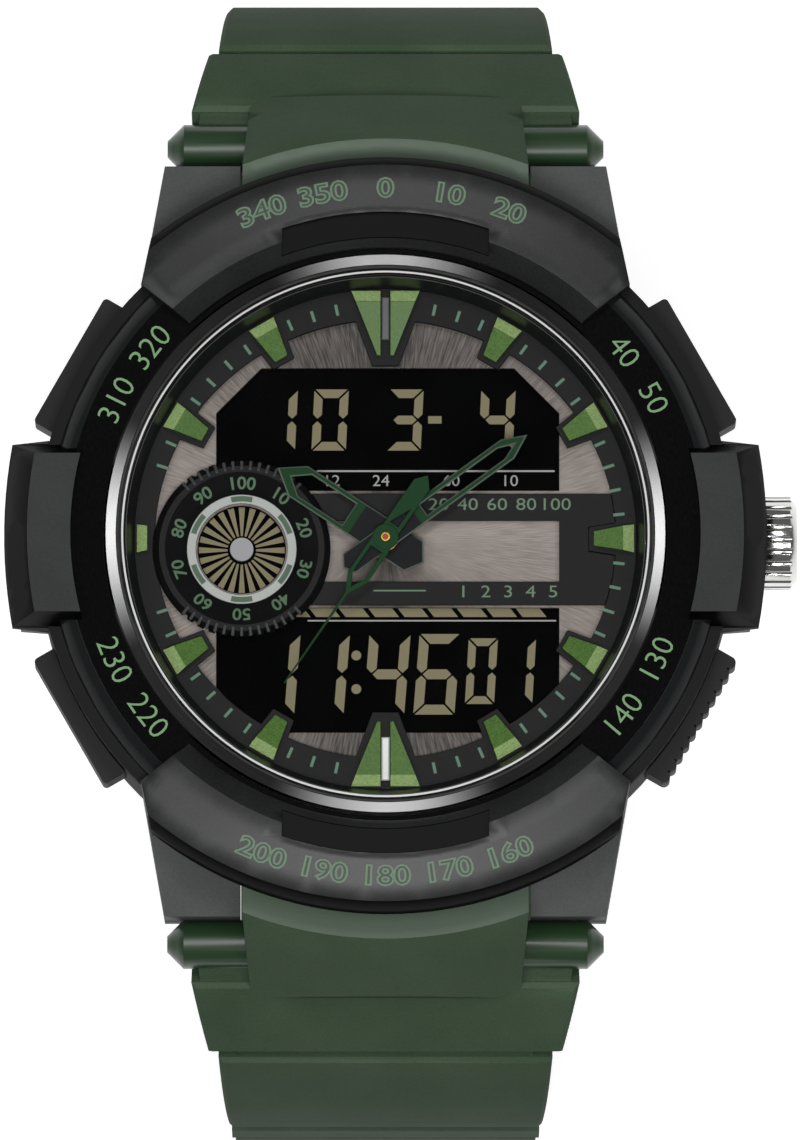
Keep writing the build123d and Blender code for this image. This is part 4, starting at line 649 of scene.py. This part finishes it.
def hand_lacquer(angle=None, foot=0.0):
    """Satin green lacquer of the hands. The hour and minute hand have an angle: their cut edges
    stay bare metal, and what is behind their foot is black."""
    name = "satin_green_lacquer" if angle is None else f"satin_green_lacquer_{round(angle)}"
    made, tree, shader = new_material(name, Specular_IOR_Level=0.05)
    place = millimetres(tree)
    grain = node(tree, "TexNoise", {"Vector": place, "Scale": 1 / 0.1})["Fac"]
    paint = node(tree, "Mix", {0: grain, 6: "#11331a", 7: "#194122"}, data_type="RGBA")[2]
    edge = "#34573a" if angle is None else "#8b9b8c"
    if angle is not None:
        turned = node(tree, "VectorRotate", {"Vector": place, "Angle": math.radians(angle)},
                      rotation_type="Z_AXIS")[0]
        along = node(tree, "SeparateXYZ", {0: turned})["Y"]
        ahead = {"Value": along, "From Min": foot - ink, "From Max": foot + ink}
        front = node(tree, "MapRange", ahead)[0]
        paint = node(tree, "Mix", {0: front, 6: "#17181a", 7: paint}, data_type="RGBA")[2]
    level = levelness(tree)
    steep = node(tree, "MapRange", {"Value": level, "From Min": 0.3, "From Max": 0.4})[0]
    flat = {"Value": level, "From Min": 0.95, "From Max": 0.98, "To Min": 1.0, "To Max": 0.0}
    cut = overlap(tree, steep, node(tree, "MapRange", flat)[0])
    tint(tree, shader, cut, paint, edge)
    tree.links.new(cut, shader.inputs["Metallic"])
    vary(tree, shader, "Roughness", grain, 0.25, 0.4)
    return made


def display_glass():
    """Reversed liquid crystal glass: black, glossy, with a faint violet film."""
    made, tree, shader = new_material("display_glass", Specular_IOR_Level=0.03)
    feeds = {"Vector": millimetres(tree), "Scale": 1 / 4.0, "Detail": 1.0}
    film = node(tree, "TexNoise", feeds)["Fac"]
    tint(tree, shader, film, "#010101", "#030304")
    vary(tree, shader, "Roughness", film, 0.12, 0.2)
    return made


def display_segment():
    """Clear segments of the display over their beige reflector."""
    made, tree, shader = new_material("display_segment", IOR=1.5)
    weave = node(tree, "TexNoise", {"Vector": millimetres(tree), "Scale": 1 / 0.14})["Fac"]
    tint(tree, shader, weave, "#685f3f", "#7a714e")
    vary(tree, shader, "Roughness", weave, 0.5, 0.65)
    return made


def printed_ink(name, dark, light):
    """Screen-printed ink: matt, with the small pits that the mesh leaves."""
    made, tree, shader = new_material(name, IOR=1.5)
    pits = node(tree, "TexNoise", {"Vector": millimetres(tree), "Scale": 1 / 0.12})["Fac"]
    tint(tree, shader, pits, dark, light)
    vary(tree, shader, "Roughness", pits, 0.45, 0.65)
    return made


def plain_metal(name, dark, light, roughness, grain=0.5):
    """Stamped or turned metal inside the watch, with the cloudy tone of handling."""
    made, tree, shader = new_material(name, Metallic=1.0)
    feeds = {"Vector": millimetres(tree), "Scale": 1 / grain, "Detail": 3.0}
    cloud = node(tree, "TexNoise", feeds)["Fac"]
    tint(tree, shader, cloud, dark, light)
    vary(tree, shader, "Roughness", cloud, roughness - 0.06, roughness + 0.08)
    return made


def copper_winding():
    """Enamelled copper wire of the two coils: its turns show as fine ribs."""
    made, tree, shader = new_material("enamelled_copper_wire", Metallic=1.0, Coat_Weight=0.5)
    feeds = {"Vector": millimetres(tree), "Angle": math.radians(coil_angle)}
    turned = node(tree, "VectorRotate", feeds, rotation_type="Z_AXIS")[0]
    feeds = {"Vector": turned, "Scale": 1 / coil_wire_pitch / 2}
    wire = node(tree, "TexWave", feeds)["Fac"]
    tint(tree, shader, wire, "#7a3d1f", "#b8693a")
    vary(tree, shader, "Roughness", wire, 0.3, 0.45)
    relief(tree, shader, wire, 0.05, 0.7)
    return made


def circuit_resin():
    """Green solder mask with copper tracks just visible under it."""
    made, tree, shader = new_material("solder_mask_on_fibreglass", IOR=1.5, Coat_Weight=0.4)
    place = millimetres(tree)
    feeds = {"Vector": place, "Scale": 0.6, "Mortar Size": 0.06}
    copper = node(tree, "TexBrick", feeds)["Fac"]
    weave = node(tree, "TexNoise", {"Vector": place, "Scale": 1 / 0.4})["Fac"]
    mask = node(tree, "Mix", {0: weave, 6: "#0e3d23", 7: "#14502e"}, data_type="RGBA")[2]
    tint(tree, shader, copper, mask, "#2c6b3d")
    vary(tree, shader, "Roughness", weave, 0.3, 0.45)
    return made


def moulded_plastic(name, dark, light):
    """Plain moulded plastic inside the watch: even colour with slight flow marks."""
    made, tree, shader = new_material(name, IOR=1.5)
    feeds = {"Vector": millimetres(tree), "Scale": 1 / 3.0, "Detail": 3.0}
    flow = node(tree, "TexNoise", feeds)["Fac"]
    tint(tree, shader, flow, dark, light)
    vary(tree, shader, "Roughness", flow, 0.4, 0.55)
    return made


def dress(material, *names):
    """Gives CAD nodes their finish."""
    for name in names:
        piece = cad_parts[name]
        if not piece.material_slots:
            piece.data.materials.append(material)
        for slot in piece.material_slots:
            slot.material = material


def soften_edges(width, *names):
    """Takes the razor edge off moulded and machined CAD nodes, so that edges catch light."""
    for name in names:
        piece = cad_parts[name]
        joined = piece.modifiers.new("joined_corners", "WELD")
        joined.merge_threshold = weld_gap * MM
        bevel = piece.modifiers.new("soft_edges", "BEVEL")
        bevel.width = width * MM
        bevel.segments = 2
        bevel.limit_method = "ANGLE"
        bevel.angle_limit = math.radians(soft_edge_angle)
        bevel.harden_normals = True


# Making pieces


def compass(angle):
    """Turns something drawn at 12 o'clock to an angle clockwise from there."""
    return Matrix.Rotation(-math.radians(angle), 4, "Z")


def finished(name, bm, material, body):
    """Turns a bmesh in millimetres into a piece that rides on a body."""
    bmesh.ops.transform(bm, matrix=Matrix.Scale(MM, 4), verts=bm.verts)
    mesh = bpy.data.meshes.new(name)
    bm.to_mesh(mesh)
    bm.free()
    piece = bpy.data.objects.new(name, mesh)
    bpy.context.scene.collection.objects.link(piece)
    mesh.materials.append(material)
    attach(piece, body)
    return piece


def flat_face(bm, loops, z):
    """Flat faces inside the first loop of points and outside the others."""
    edges = []
    for points in loops:
        corners = [bm.verts.new((x, y, z)) for x, y in points]
        edges += [bm.edges.new((corners[index - 1], corners[index]))
                  for index in range(len(corners))]
    bmesh.ops.triangle_fill(bm, edges=edges, use_beauty=True, use_dissolve=True)
    return bm.faces[:]


def raised(bm, faces, height, bevel=0.0):
    """Makes flat faces into a closed plate of some height, with a sloping rim on top."""
    made = bmesh.ops.extrude_face_region(bm, geom=faces)
    rise = bevel * bevel_rise_share
    top = [item for item in made["geom"] if isinstance(item, bmesh.types.BMVert)]
    roof = [item for item in made["geom"] if isinstance(item, bmesh.types.BMFace)]
    bmesh.ops.translate(bm, verts=top, vec=(0, 0, height - rise))
    bmesh.ops.recalc_face_normals(bm, faces=bm.faces[:])
    if bevel:
        bmesh.ops.inset_region(bm, faces=roof, thickness=bevel, use_even_offset=True,
                               use_boundary=True)
        inner = {vert for face in roof for vert in face.verts}
        bmesh.ops.translate(bm, verts=list(inner), vec=(0, 0, rise))


def shaped_plate(loops, z, height, bevel=0.0):
    """Bmesh of one plate with openings: the first loop is its outline."""
    bm = bmesh.new()
    raised(bm, flat_face(bm, loops, z), height, bevel)
    return bm


def plate(outlines, z, height, turn=None):
    """Bmesh of separate thin plates over closed outlines."""
    bm = bmesh.new()
    for points in outlines:
        bm.faces.new([bm.verts.new((x, y, z)) for x, y in points])
    raised(bm, bm.faces[:], height)
    if turn is not None:
        bmesh.ops.transform(bm, matrix=turn, verts=bm.verts)
    return bm


def add_bmesh(target, extra):
    """Adds one bmesh to another."""
    mesh = bpy.data.meshes.new("joined")
    extra.to_mesh(mesh)
    extra.free()
    target.from_mesh(mesh)
    bpy.data.meshes.remove(mesh)


def text_mesh(text, height, weight=0.0):
    """Numbers as a mesh in millimetres, centred on the origin, digits height tall."""
    curve = bpy.data.curves.new("numbers", "FONT")
    curve.body = text
    curve.align_x = "CENTER"
    curve.align_y = "CENTER"
    curve.size = height / digit_share
    curve.offset = weight
    curve.extrude = ink / 2
    curve.resolution_u = 3
    holder = bpy.data.objects.new("numbers", curve)
    bpy.context.scene.collection.objects.link(holder)
    bpy.context.view_layer.update()
    seen = holder.evaluated_get(bpy.context.evaluated_depsgraph_get())
    mesh = bpy.data.meshes.new_from_object(seen)
    bpy.data.objects.remove(holder)
    bpy.data.curves.remove(curve)
    bm = bmesh.new()
    bm.from_mesh(mesh)
    bpy.data.meshes.remove(mesh)
    bmesh.ops.remove_doubles(bm, verts=bm.verts, dist=joined_points)
    return bm


def number_on_ring(text, height, radius, z, angle, inward=False, slope=0.0, weight=0.0,
                   stretch=1.0):
    """Number bent round a ring at an angle from 12, its top outwards or inwards."""
    bm = text_mesh(text, height, weight)
    way = -1 if inward else 1
    for vert in bm.verts:
        across, up, lift = vert.co
        reach = radius + way * up
        turn = math.radians(angle) + way * across * stretch / radius
        vert.co = (reach * math.sin(turn), reach * math.cos(turn),
                   z + lift + (reach - radius) * slope)
    return bm


def print_numbers(name, numbers, material, slot, **setting):
    """Piece with several numbers on rings: each has its text and its angle from 12."""
    target = bmesh.new()
    for text, angle in numbers:
        add_bmesh(target, number_on_ring(text, angle=angle, **setting))
    finished(name, target, material, "watch_head")


# Prints on the guards, the gloss ring and the dial


def guard_numbers(name, texts, step, middle, green, dark):
    """Numbers on a guard: a green line round each dark figure."""
    count = len(texts)
    numbers = [(text, middle + (index - (count - 1) / 2) * step)
               for index, text in enumerate(texts)]
    setting = {"height": guard_number_height, "radius": guard_number_radius,
               "inward": step < 0, "stretch": wide_digits, "slope": guard_slope}
    z = guard_top + (guard_number_radius - guard_crest_radius) * guard_slope
    print_numbers(name + "_line", numbers, green, "marker_green", z=z + ink / 2,
                  weight=outline_weight, **setting)
    print_numbers(name + "_fill", numbers, dark, "case_resin", z=z + ink,
                  weight=thin_weight, **setting)


def ring_numbers(green):
    """Pairs of numbers on the gloss ring, beside the four buttons."""
    setting = {"height": ring_number_height, "radius": ring_number_radius,
               "z": ring_top + ink / 2, "weight": thin_weight}
    upper = [("310", -63.5), ("320", -51.5), ("40", 52.5), ("50", 63.0)]
    lower = [("130", 115.0), ("140", 127.5), ("220", -127.5), ("230", -115.0)]
    print_numbers("ring_numbers_upper", upper, green, "marker_green", **setting)
    print_numbers("ring_numbers_lower", lower, green, "marker_green", inward=True, **setting)


def tick_angles():
    """Minutes that have a printed tick: not under a marker or the small dial."""
    angles = []
    for minute in range(60):
        angle = minute * minute_step
        from_hour = abs((angle + hour_step / 2) % hour_step - hour_step / 2)
        from_twin = min(angle % 180, 180 - angle % 180)
        from_small_dial = abs(angle - 270)
        if (from_hour >= marker_clear and from_twin >= twin_clear
                and from_small_dial >= small_dial_clear):
            angles.append(angle)
    return angles


def minute_ticks(ink_colour):
    """Short printed bars on the chapter ring."""
    target = bmesh.new()
    box = [(-tick_half, tick_inner), (tick_half, tick_inner),
           (tick_half, tick_outer), (-tick_half, tick_outer)]
    for angle in tick_angles():
        add_bmesh(target, plate([box], chapter_top, ink, compass(angle)))
    finished("minute_ticks", target, ink_colour, "watch_head")


def flat_number(target, text, height, x, y, z, stretch):
    """Adds a number that reads straight across."""
    bm = text_mesh(text, height)
    place = Matrix.Translation((x, y, z)) @ Matrix.Diagonal((stretch, 1, 1, 1))
    bmesh.ops.transform(bm, matrix=place, verts=bm.verts)
    add_bmesh(target, bm)


def bracket_prints(green):
    """Rows of small numbers and one line on the bracket over the dial."""
    target = bmesh.new()
    z = bracket_top + ink / 2
    for row in bracket_rows:
        for index, number in enumerate(row["texts"]):
            x = row["left"] + index * row["pitch"]
            flat_number(target, number, dial_number_height, x, row["y"], z, wide_digits)
    add_bmesh(target, plate([bar_outline(**bracket_line)], bracket_top, ink))
    finished("bracket_numbers", target, green, "watch_head")


def small_dial_numbers(green):
    """Numbers 10 to 100 round the small dial, on its sloping face."""
    rise = subdial_top - subdial_inner_z
    run = subdial_face_radius - subdial_inner_radius
    slope = rise / run
    radius = (subdial_inner_radius + subdial_face_radius) / 2 - dial_number_inset
    z = subdial_inner_z + (radius - subdial_inner_radius) * slope + ink
    target = bmesh.new()
    for number in range(10, 110, 10):
        angle = number * 360 / 100
        add_bmesh(target, number_on_ring(str(number), dial_number_height, radius, z, angle,
                                         slope=slope, weight=bold_weight,
                                         stretch=broad_digits))
    place = Matrix.Translation((subdial_x, subdial_y, 0))
    bmesh.ops.transform(target, matrix=place, verts=target.verts)
    finished("small_dial_numbers", target, green, "watch_head")


def small_dial_ribs(satin):
    """Ribs across the sloping rim of the small dial, above and below."""
    width = subdial_outer_radius - subdial_face_radius
    fall = width / 2
    low = subdial_face_radius + width * rib_inner_gap
    high = subdial_outer_radius - width * rib_outer_gap
    lean = Matrix.Rotation(-math.radians(rib_lean), 4, "X")
    seat = Matrix.Translation((0, (low + high) / 2, subdial_top - fall * rib_sink_share))
    target = bmesh.new()
    for side in (0, 180):
        for index in range(rib_count):
            angle = side + (index - (rib_count - 1) / 2) * rib_step
            rib = bmesh.new()
            bmesh.ops.create_cube(rib, size=1.0)
            bmesh.ops.scale(rib, vec=(rib_width, high - low, fall * rib_height_share),
                            verts=rib.verts)
            bmesh.ops.bevel(rib, geom=rib.edges[:], offset=rib_bevel, affect="EDGES",
                            segments=1, profile=0.5, material=-1)
            bmesh.ops.transform(rib, matrix=compass(angle) @ seat @ lean, verts=rib.verts)
            add_bmesh(target, rib)
    place = Matrix.Translation((subdial_x, subdial_y, 0))
    bmesh.ops.transform(target, matrix=place, verts=target.verts)
    finished("small_dial_ribs", target, satin, "watch_head")


def twin_strips(bright, dull):
    """Strips between the twin markers: bright at 6 o'clock, dull at 12."""
    box = [(-strip_half, strip_inner), (strip_half, strip_inner),
           (strip_half, strip_outer), (-strip_half, strip_outer)]
    for name, angle, material in (("strip_12", 0, dull), ("strip_6", 180, bright)):
        bm = shaped_plate([box], chapter_top, strip_height, strip_bevel)
        bmesh.ops.transform(bm, matrix=compass(angle), verts=bm.verts)
        finished(name, bm, material, "watch_head")


def sector(inner, outer, start, end, steps):
    """Outline between two radii and two angles from 12."""
    angles = [math.radians(start + (end - start) * index / steps) for index in range(steps + 1)]
    out = [(outer * math.sin(angle), outer * math.cos(angle)) for angle in angles]
    back = [(inner * math.sin(angle), inner * math.cos(angle)) for angle in reversed(angles)]
    return [*out, *back]


def small_dial_fan(beige):
    """Blades of the round display in the small dial."""
    pitch = 360 / fan_count
    blades = []
    for index in range(fan_count):
        half = pitch * fan_share / 2
        blades.append(sector(fan_inner, fan_outer, index * pitch - half, index * pitch + half, 1))
    bm = plate(blades, lcd_top, ink, Matrix.Translation((subdial_x, subdial_y, 0)))
    finished("small_dial_display", bm, beige, "watch_head")


def small_dial_dashes(green):
    """Green dashes on the metal ring of the small dial."""
    dashes = []
    for index in range(dash_count):
        middle = index * 360 / dash_count
        dashes.append(sector(dash_inner, dash_outer, middle - dash_angle / 2,
                             middle + dash_angle / 2, dash_steps))
    bm = plate(dashes, subdial_trim_top, ink, Matrix.Translation((subdial_x, subdial_y, 0)))
    finished("small_dial_dashes", bm, green, "watch_head")


# Display

# Lit segments: a is the top one, b to f follow clockwise, and g is the middle one
segments_of = {"0": "abcdef", "1": "bc", "3": "abgcd", "4": "fgbc", "6": "afgedc"}


def segment_outline(letter, width, height, bar, gap):
    """Outline of one of the seven segments, from the digit's lower left corner."""
    middle = height / 2
    half = bar / 2
    upper_right = [(width, height - gap), (width - bar, height - bar - gap),
                   (width - bar, middle + half + gap / 2), (width - half, middle + gap),
                   (width, middle + half + gap)]
    top = [(gap, height), (width - gap, height), (width - bar - gap, height - bar),
           (bar + gap, height - bar)]
    shapes = {
        "a": top,
        "b": upper_right,
        "c": [(x, height - y) for x, y in reversed(upper_right)],
        "d": [(x, height - y) for x, y in reversed(top)],
        "e": [(width - x, height - y) for x, y in upper_right],
        "f": [(width - x, y) for x, y in reversed(upper_right)],
        "g": [(half + gap, middle), (bar + gap, middle + half), (width - bar - gap, middle + half),
              (width - half - gap, middle), (width - bar - gap, middle - half),
              (bar + gap, middle - half)],
    }
    return shapes[letter]


def digit_outlines(digit, left, bottom, width, height, bar, slant):
    """Outlines of a slanted seven-segment digit."""
    outlines = []
    for letter in segments_of[digit]:
        shape = segment_outline(letter, width, height, bar, segment_gap)
        outlines.append([(left + x + y * slant, bottom + y) for x, y in shape])
    return outlines


def bar_outline(left, right, low, high, slant=0.0):
    """Outline of an upright or slanted bar."""
    run = (high - low) * slant
    return [(left, low), (right, low), (right + run, high), (left + run, high)]


def display_digits(beige):
    """Seven-segment digits, dots, dash and bar graph of the two displays."""
    outlines = []
    for digits, shape in ((upper_digits, upper_shape), (lower_digits, lower_shape),
                          (small_digits, small_shape)):
        for digit, left in digits:
            outlines += digit_outlines(digit, left, **shape)
    outlines.append(bar_outline(**upper_dash))
    for height in dot_heights:
        outlines.append([(dot_x + x, height + y) for x, y in circle_points(dot_radius, dot_sides)])
    for index in range(graph_count):
        left = graph_left + index * graph_pitch
        outlines.append(bar_outline(left, left + graph_width, graph_low, graph_high,
                                    graph_slant))
    finished("display_digits", plate(outlines, lcd_top, ink), beige, "watch_head")


def display_lines(grey):
    """Printed lines and small numbers on the display glass."""
    target = plate([bar_outline(**line) for line in glass_lines], lcd_top, ink)
    z = lcd_top + ink / 2
    for number, x in glass_numbers:
        flat_number(target, number, glass_number_height, x, glass_number_y, z, broad_digits)
    finished("display_lines", target, grey, "watch_head")


# Hands


def circle_points(radius, sides):
    """Points round the origin, clockwise from 12."""
    turns = [2 * math.pi * index / sides for index in range(sides)]
    return [(radius * math.sin(turn), radius * math.cos(turn)) for turn in turns]


def hand_outline(length, half, tail):
    """Bar pointed at both ends, drawn towards 12."""
    widest = length - hand_point
    tail_side = half * hand_tail_share - tail
    return [(-half, tail_side), (-half, widest), (0, length), (half, widest), (half, tail_side),
            (0, -tail)]


def hand_opening(length, half, foot):
    """Opening in the long end of a hand, from its foot to its point."""
    start = foot + hand_foot_bar
    inner = half - hand_rim
    shoulder = length - hand_point - hand_rim * hand_slope_share
    return [(-inner, start), (-inner, shoulder), (0, length - hand_notch), (inner, shoulder),
            (inner, start)]


def skeleton_hand(name, body, size, bore, z, angle):
    """Hour or minute hand: a pointed bar with an opening in its long end."""
    length, half, foot, tail = size
    loops = [hand_outline(length, half, tail), hand_opening(length, half, foot),
             circle_points(bore, bore_sides)]
    bm = shaped_plate(loops, z, hand_thickness, hand_bevel)
    bmesh.ops.transform(bm, matrix=compass(angle), verts=bm.verts)
    piece = finished(name + "_shape", bm, hand_lacquer(angle, foot), body)
    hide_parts(name)


def second_hand(material):
    """Second hand: open frame beside the hub, long needle and pointed tail."""
    z = second_hand_bottom
    start = second_hub_radius + second_rim / 2
    tail_side = second_tail_point - second_tail_length
    right = [(second_tip_half, second_length), (second_half, second_frame_tip),
             (second_frame_half, second_frame_end), (second_frame_half, 0),
             (second_tail_half, 0), (second_tail_half, tail_side)]
    left = [(-x, y) for x, y in reversed(right)]
    inner = second_frame_half - second_rim
    inner_end = second_frame_end - second_rim / 2
    opening = [(-inner, start), (-inner, inner_end), (0, second_frame_tip - second_rim * 2),
               (inner, inner_end), (inner, start)]
    tail_inner = second_tail_half - second_rim
    slit = [(tail_inner, -start), (-tail_inner, -second_tail_length * second_opening_share),
            (-tail_inner, -start)]
    bore = circle_points(second_bore, small_sides)
    loops = [[*right, (0, -second_tail_length), *left], opening, slit, bore]
    bm = shaped_plate(loops, z, second_thickness, hand_bevel * second_bevel_share)
    hub = [circle_points(second_hub_radius, hub_sides), bore]
    add_bmesh(bm, shaped_plate(hub, z + ink, second_thickness, hand_bevel * hub_bevel_share))
    bmesh.ops.transform(bm, matrix=compass(second_angle), verts=bm.verts)
    piece = finished("second_hand_shape", bm, material, "seconds")
    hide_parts("second_hand")


def return_spring(button, angle, steel):
    """Return spring of a button. It is squeezed between its bore and the moving button."""
    bm = bmesh.new()
    wire = Matrix.Translation((spring_floor + spring_end_gap, spring_coil_radius, 0))
    bmesh.ops.create_circle(bm, cap_ends=True, segments=spring_wire_sides,
                            radius=spring_wire_radius, matrix=wire)
    steps = spring_turns * spring_turn_steps
    bmesh.ops.spin(bm, geom=bm.verts[:] + bm.edges[:] + bm.faces[:], cent=(0, 0, 0),
                   axis=(1, 0, 0), dvec=(spring_length / steps, 0, 0),
                   angle=spring_turns * 2 * math.pi, steps=steps, use_merge=False)
    bmesh.ops.recalc_face_normals(bm, faces=bm.faces[:])
    turn = Matrix.Rotation(math.radians(angle), 4, "Z")
    place = Matrix.Translation((0, 0, button_axis_z)) @ turn
    bmesh.ops.transform(bm, matrix=place, verts=bm.verts)
    piece = finished(button + "_spring_coil", bm, steel, "watch_head")
    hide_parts(button + "_spring")
    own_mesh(piece)


def make_springs():
    """Coils in place of the four plain springs."""
    steel = plain_metal("spring_steel", "#9c9c98", "#b9b9b4", 0.28, 2.0)
    for button, angle in button_angles.items():
        return_spring(button, angle, steel)


def hub_trim(gold, red):
    """Gold ring and red centre on the hub."""
    z = second_hand_bottom + second_thickness + ink
    loops = [circle_points(hub_ring_outer, small_sides),
             circle_points(hub_ring_inner, small_sides)]
    ring = shaped_plate(loops, z, hub_ring_height, hub_ring_bevel)
    finished("hub_ring", ring, gold, "seconds")
    centre = shaped_plate([circle_points(hub_centre_radius, small_sides)], z, hub_centre_height)
    finished("hub_centre", centre, red, "seconds")


# The whole watch


def dress_outside():
    dress(case_resin(), "mid_case")
    dress(guard_resin(), "guard_12", "guard_6")
    dress(side_guard_resin(), "guard_3", "guard_9")
    dress(pusher_resin(), "start_pusher", "reset_pusher", "light_pusher", "mode_pusher")
    dress(strap_resin(), "strap_long", "strap_short", "keeper_fixed", "keeper_sliding")
    dress(polished_resin(), "gloss_ring")
    dress(dark_turned_steel(), "crystal_ring")
    dress(mineral_glass(), "crystal")
    dress(back_steel(), "case_back")
    dress(polished_steel(), "crown", "buckle_frame", "buckle_bar", "buckle_tongue",
          "case_back_screws", "spring_bars", "crown_stem", "crown_tube")
    dress(black_rubber(), "crystal_gasket", "case_back_gasket", "pusher_seals", "crown_seal")


def dress_dial():
    dress(brushed_dial(), "dial_plate")
    dress(dial_lacquer(), "chapter_ring", "dial_bracket", "subdial_ring")
    dress(flange_lacquer(), "flange_ring")
    dress(marker_lacquer(), "hour_markers")
    dress(satin_metal("silvered_ring", "#7f8380", "#979b98"), "subdial_trim")
    dress(moulded_plastic("grey_cap_lacquer", "#858588", "#919194"), "subdial_cap")
    dress(display_glass(), "lcd_panel")


def dress_inside():
    dress(plain_metal("gilt_brass", "#a8843f", "#c9a458", 0.3), "hour_wheel", "cannon_pinion",
          "minute_wheel", "second_arbor")
    dress(plain_metal("nickel_plated_steel", "#9c9c98", "#b9b9b4", 0.28, 2.0), "battery",
          "battery_clip", "setting_lever", "motor_cores")
    dress(plain_metal("piezo_brass_disc", "#9a8648", "#b7a25f", 0.35, 2.0), "buzzer")
    dress(copper_winding(), "motor_coils")
    dress(circuit_resin(), "circuit_board")
    dress(moulded_plastic("grey_nylon", "#6d6f70", "#7b7d7e"), "module_frame", "battery_holder")
    dress(moulded_plastic("white_light_guide", "#dcdcd6", "#eaeae4"), "backlight_panel")
    dress(moulded_plastic("zebra_rubber", "#3c3c3e", "#56565a"), "lcd_connectors")


def round_off_edges():
    soften_edges(case_edge, "guard_12", "guard_6", "guard_3", "guard_9", "mid_case", "strap_long",
                 "strap_short", "keeper_fixed", "keeper_sliding")
    soften_edges(pusher_edge, "start_pusher", "reset_pusher", "light_pusher", "mode_pusher",
                 "crown", "buckle_frame", "buckle_tongue", "case_back")
    soften_edges(dial_edge, "gloss_ring", "dial_plate", "dial_bracket", "chapter_ring",
                 "hour_markers", "subdial_ring", "subdial_cap", "subdial_trim")


def make_prints():
    green = printed_ink("printed_green_ink", "#5a8252", "#6c9764")
    faint = printed_ink("printed_faded_green_ink", "#3c6650", "#4f7d62")
    pale = printed_ink("printed_pale_green_ink", "#4c6a4e", "#5f7c60")
    grey = printed_ink("printed_grey_ink", "#8b8a88", "#a09f9c")
    dark = printed_ink("printed_dark_ink", "#1f2a20", "#28352a")
    beige = display_segment()
    guard_numbers("guard_numbers_upper", ("340", "350", "0", "10", "20"),
                  guard_number_step, 0, pale, dark)
    guard_numbers("guard_numbers_lower", ("200", "190", "180", "170", "160"),
                  -guard_number_step, 180, pale, dark)
    ring_numbers(green)
    minute_ticks(faint)
    bracket_prints(pale)
    small_dial_numbers(pale)
    small_dial_fan(beige)
    small_dial_dashes(printed_ink("printed_dark_green_ink", "#2c4a30", "#3a5c3e"))
    dull = satin_metal("satin_black_nickel", "#3d3e40", "#505153")
    small_dial_ribs(dull)
    twin_strips(satin_metal("satin_silver", "#aeb0ad", "#c9cbc8"), dull)
    display_digits(beige)
    display_lines(grey)


def make_hands():
    skeleton_hand("hour_hand", "hours", (hour_length, hour_half, hour_foot, hour_tail),
                  hour_bore, hour_hand_bottom, hour_angle)
    skeleton_hand("minute_hand", "minutes",
                  (minute_length, minute_half, minute_foot, minute_tail),
                  minute_bore, minute_hand_bottom, minute_angle)
    second_hand(hand_lacquer())
    hub_trim(plain_metal("gold_plate", "#c79a3e", "#e2b95a", 0.22),
             printed_ink("red_lacquer", "#8e1f16", "#a3281c"))


# Stage


def floor_material():
    """Pale floor that is white to the camera and keeps the object's shadow."""
    made, tree, shader = new_material("pale_floor", Roughness=0.9,
                                      Base_Color=linear("#f2f2f2"),
                                      Emission_Color=(1, 1, 1, 1))
    path = node(tree, "LightPath")
    bent = {0: path["Is Glossy Ray"], 1: path["Is Transmission Ray"]}
    mirrored = node(tree, "Math", bent, operation="MAXIMUM")[0]
    direct = {0: path["Is Camera Ray"], 1: mirrored}
    seen = node(tree, "Math", direct, operation="MAXIMUM")[0]
    vary(tree, shader, "Emission Strength", seen, 0.0, floor_glow)
    return made


def make_floor():
    """Floor on which the strap rests."""
    bm = bmesh.new()
    bmesh.ops.create_grid(bm, x_segments=1, y_segments=1, size=floor_half)
    bmesh.ops.translate(bm, verts=bm.verts, vec=(0, 0, floor_z * MM))
    mesh = bpy.data.meshes.new("floor")
    bm.to_mesh(mesh)
    bm.free()
    mesh.materials.append(floor_material())
    floor = bpy.data.objects.new("floor", mesh)
    bpy.context.scene.collection.objects.link(floor)


def soft_box(name, place, size, power):
    """Square lamp aimed at the watch. Place and size are in millimetres."""
    data = bpy.data.lights.new(name, "AREA")
    data.energy = power
    data.size = size * MM
    lamp = bpy.data.objects.new(name, data)
    lamp.location = Vector(place) * MM
    lamp.rotation_mode = "QUATERNION"
    lamp.rotation_quaternion = (-Vector(place)).to_track_quat("-Z", "Y")
    bpy.context.scene.collection.objects.link(lamp)


def make_world():
    """Even white light from all round."""
    world = bpy.data.worlds.new("studio")
    bpy.context.scene.world = world
    world.use_nodes = True
    background = world.node_tree.nodes["Background"]
    background.inputs["Color"].default_value = (1, 1, 1, 1)
    background.inputs["Strength"].default_value = world_light


def make_camera():
    """Camera far above the watch, tilted towards 6 o'clock as in the photograph."""
    tilt = math.radians(camera_tilt)
    back = Vector((0, -math.sin(tilt), math.cos(tilt)))
    data = bpy.data.cameras.new("camera")
    data.sensor_width = camera_sensor
    data.lens = camera_sensor * camera_distance / picture_height
    data.clip_start = camera_near
    data.clip_end = camera_far
    camera = bpy.data.objects.new("camera", data)
    camera.location = (Vector(camera_aim) + back * camera_distance) * MM
    camera.rotation_euler = (tilt, 0, 0)
    bpy.context.scene.collection.objects.link(camera)
    bpy.context.scene.camera = camera


def make_stage():
    make_floor()
    make_world()
    make_camera()
    for name, (place, size, power) in lamps.items():
        soft_box(name, place, size, power)
    bpy.context.scene.view_settings.view_transform = "Standard"


dress_outside()
dress_dial()
dress_inside()
round_off_edges()
make_prints()
make_hands()
make_springs()
make_stage()
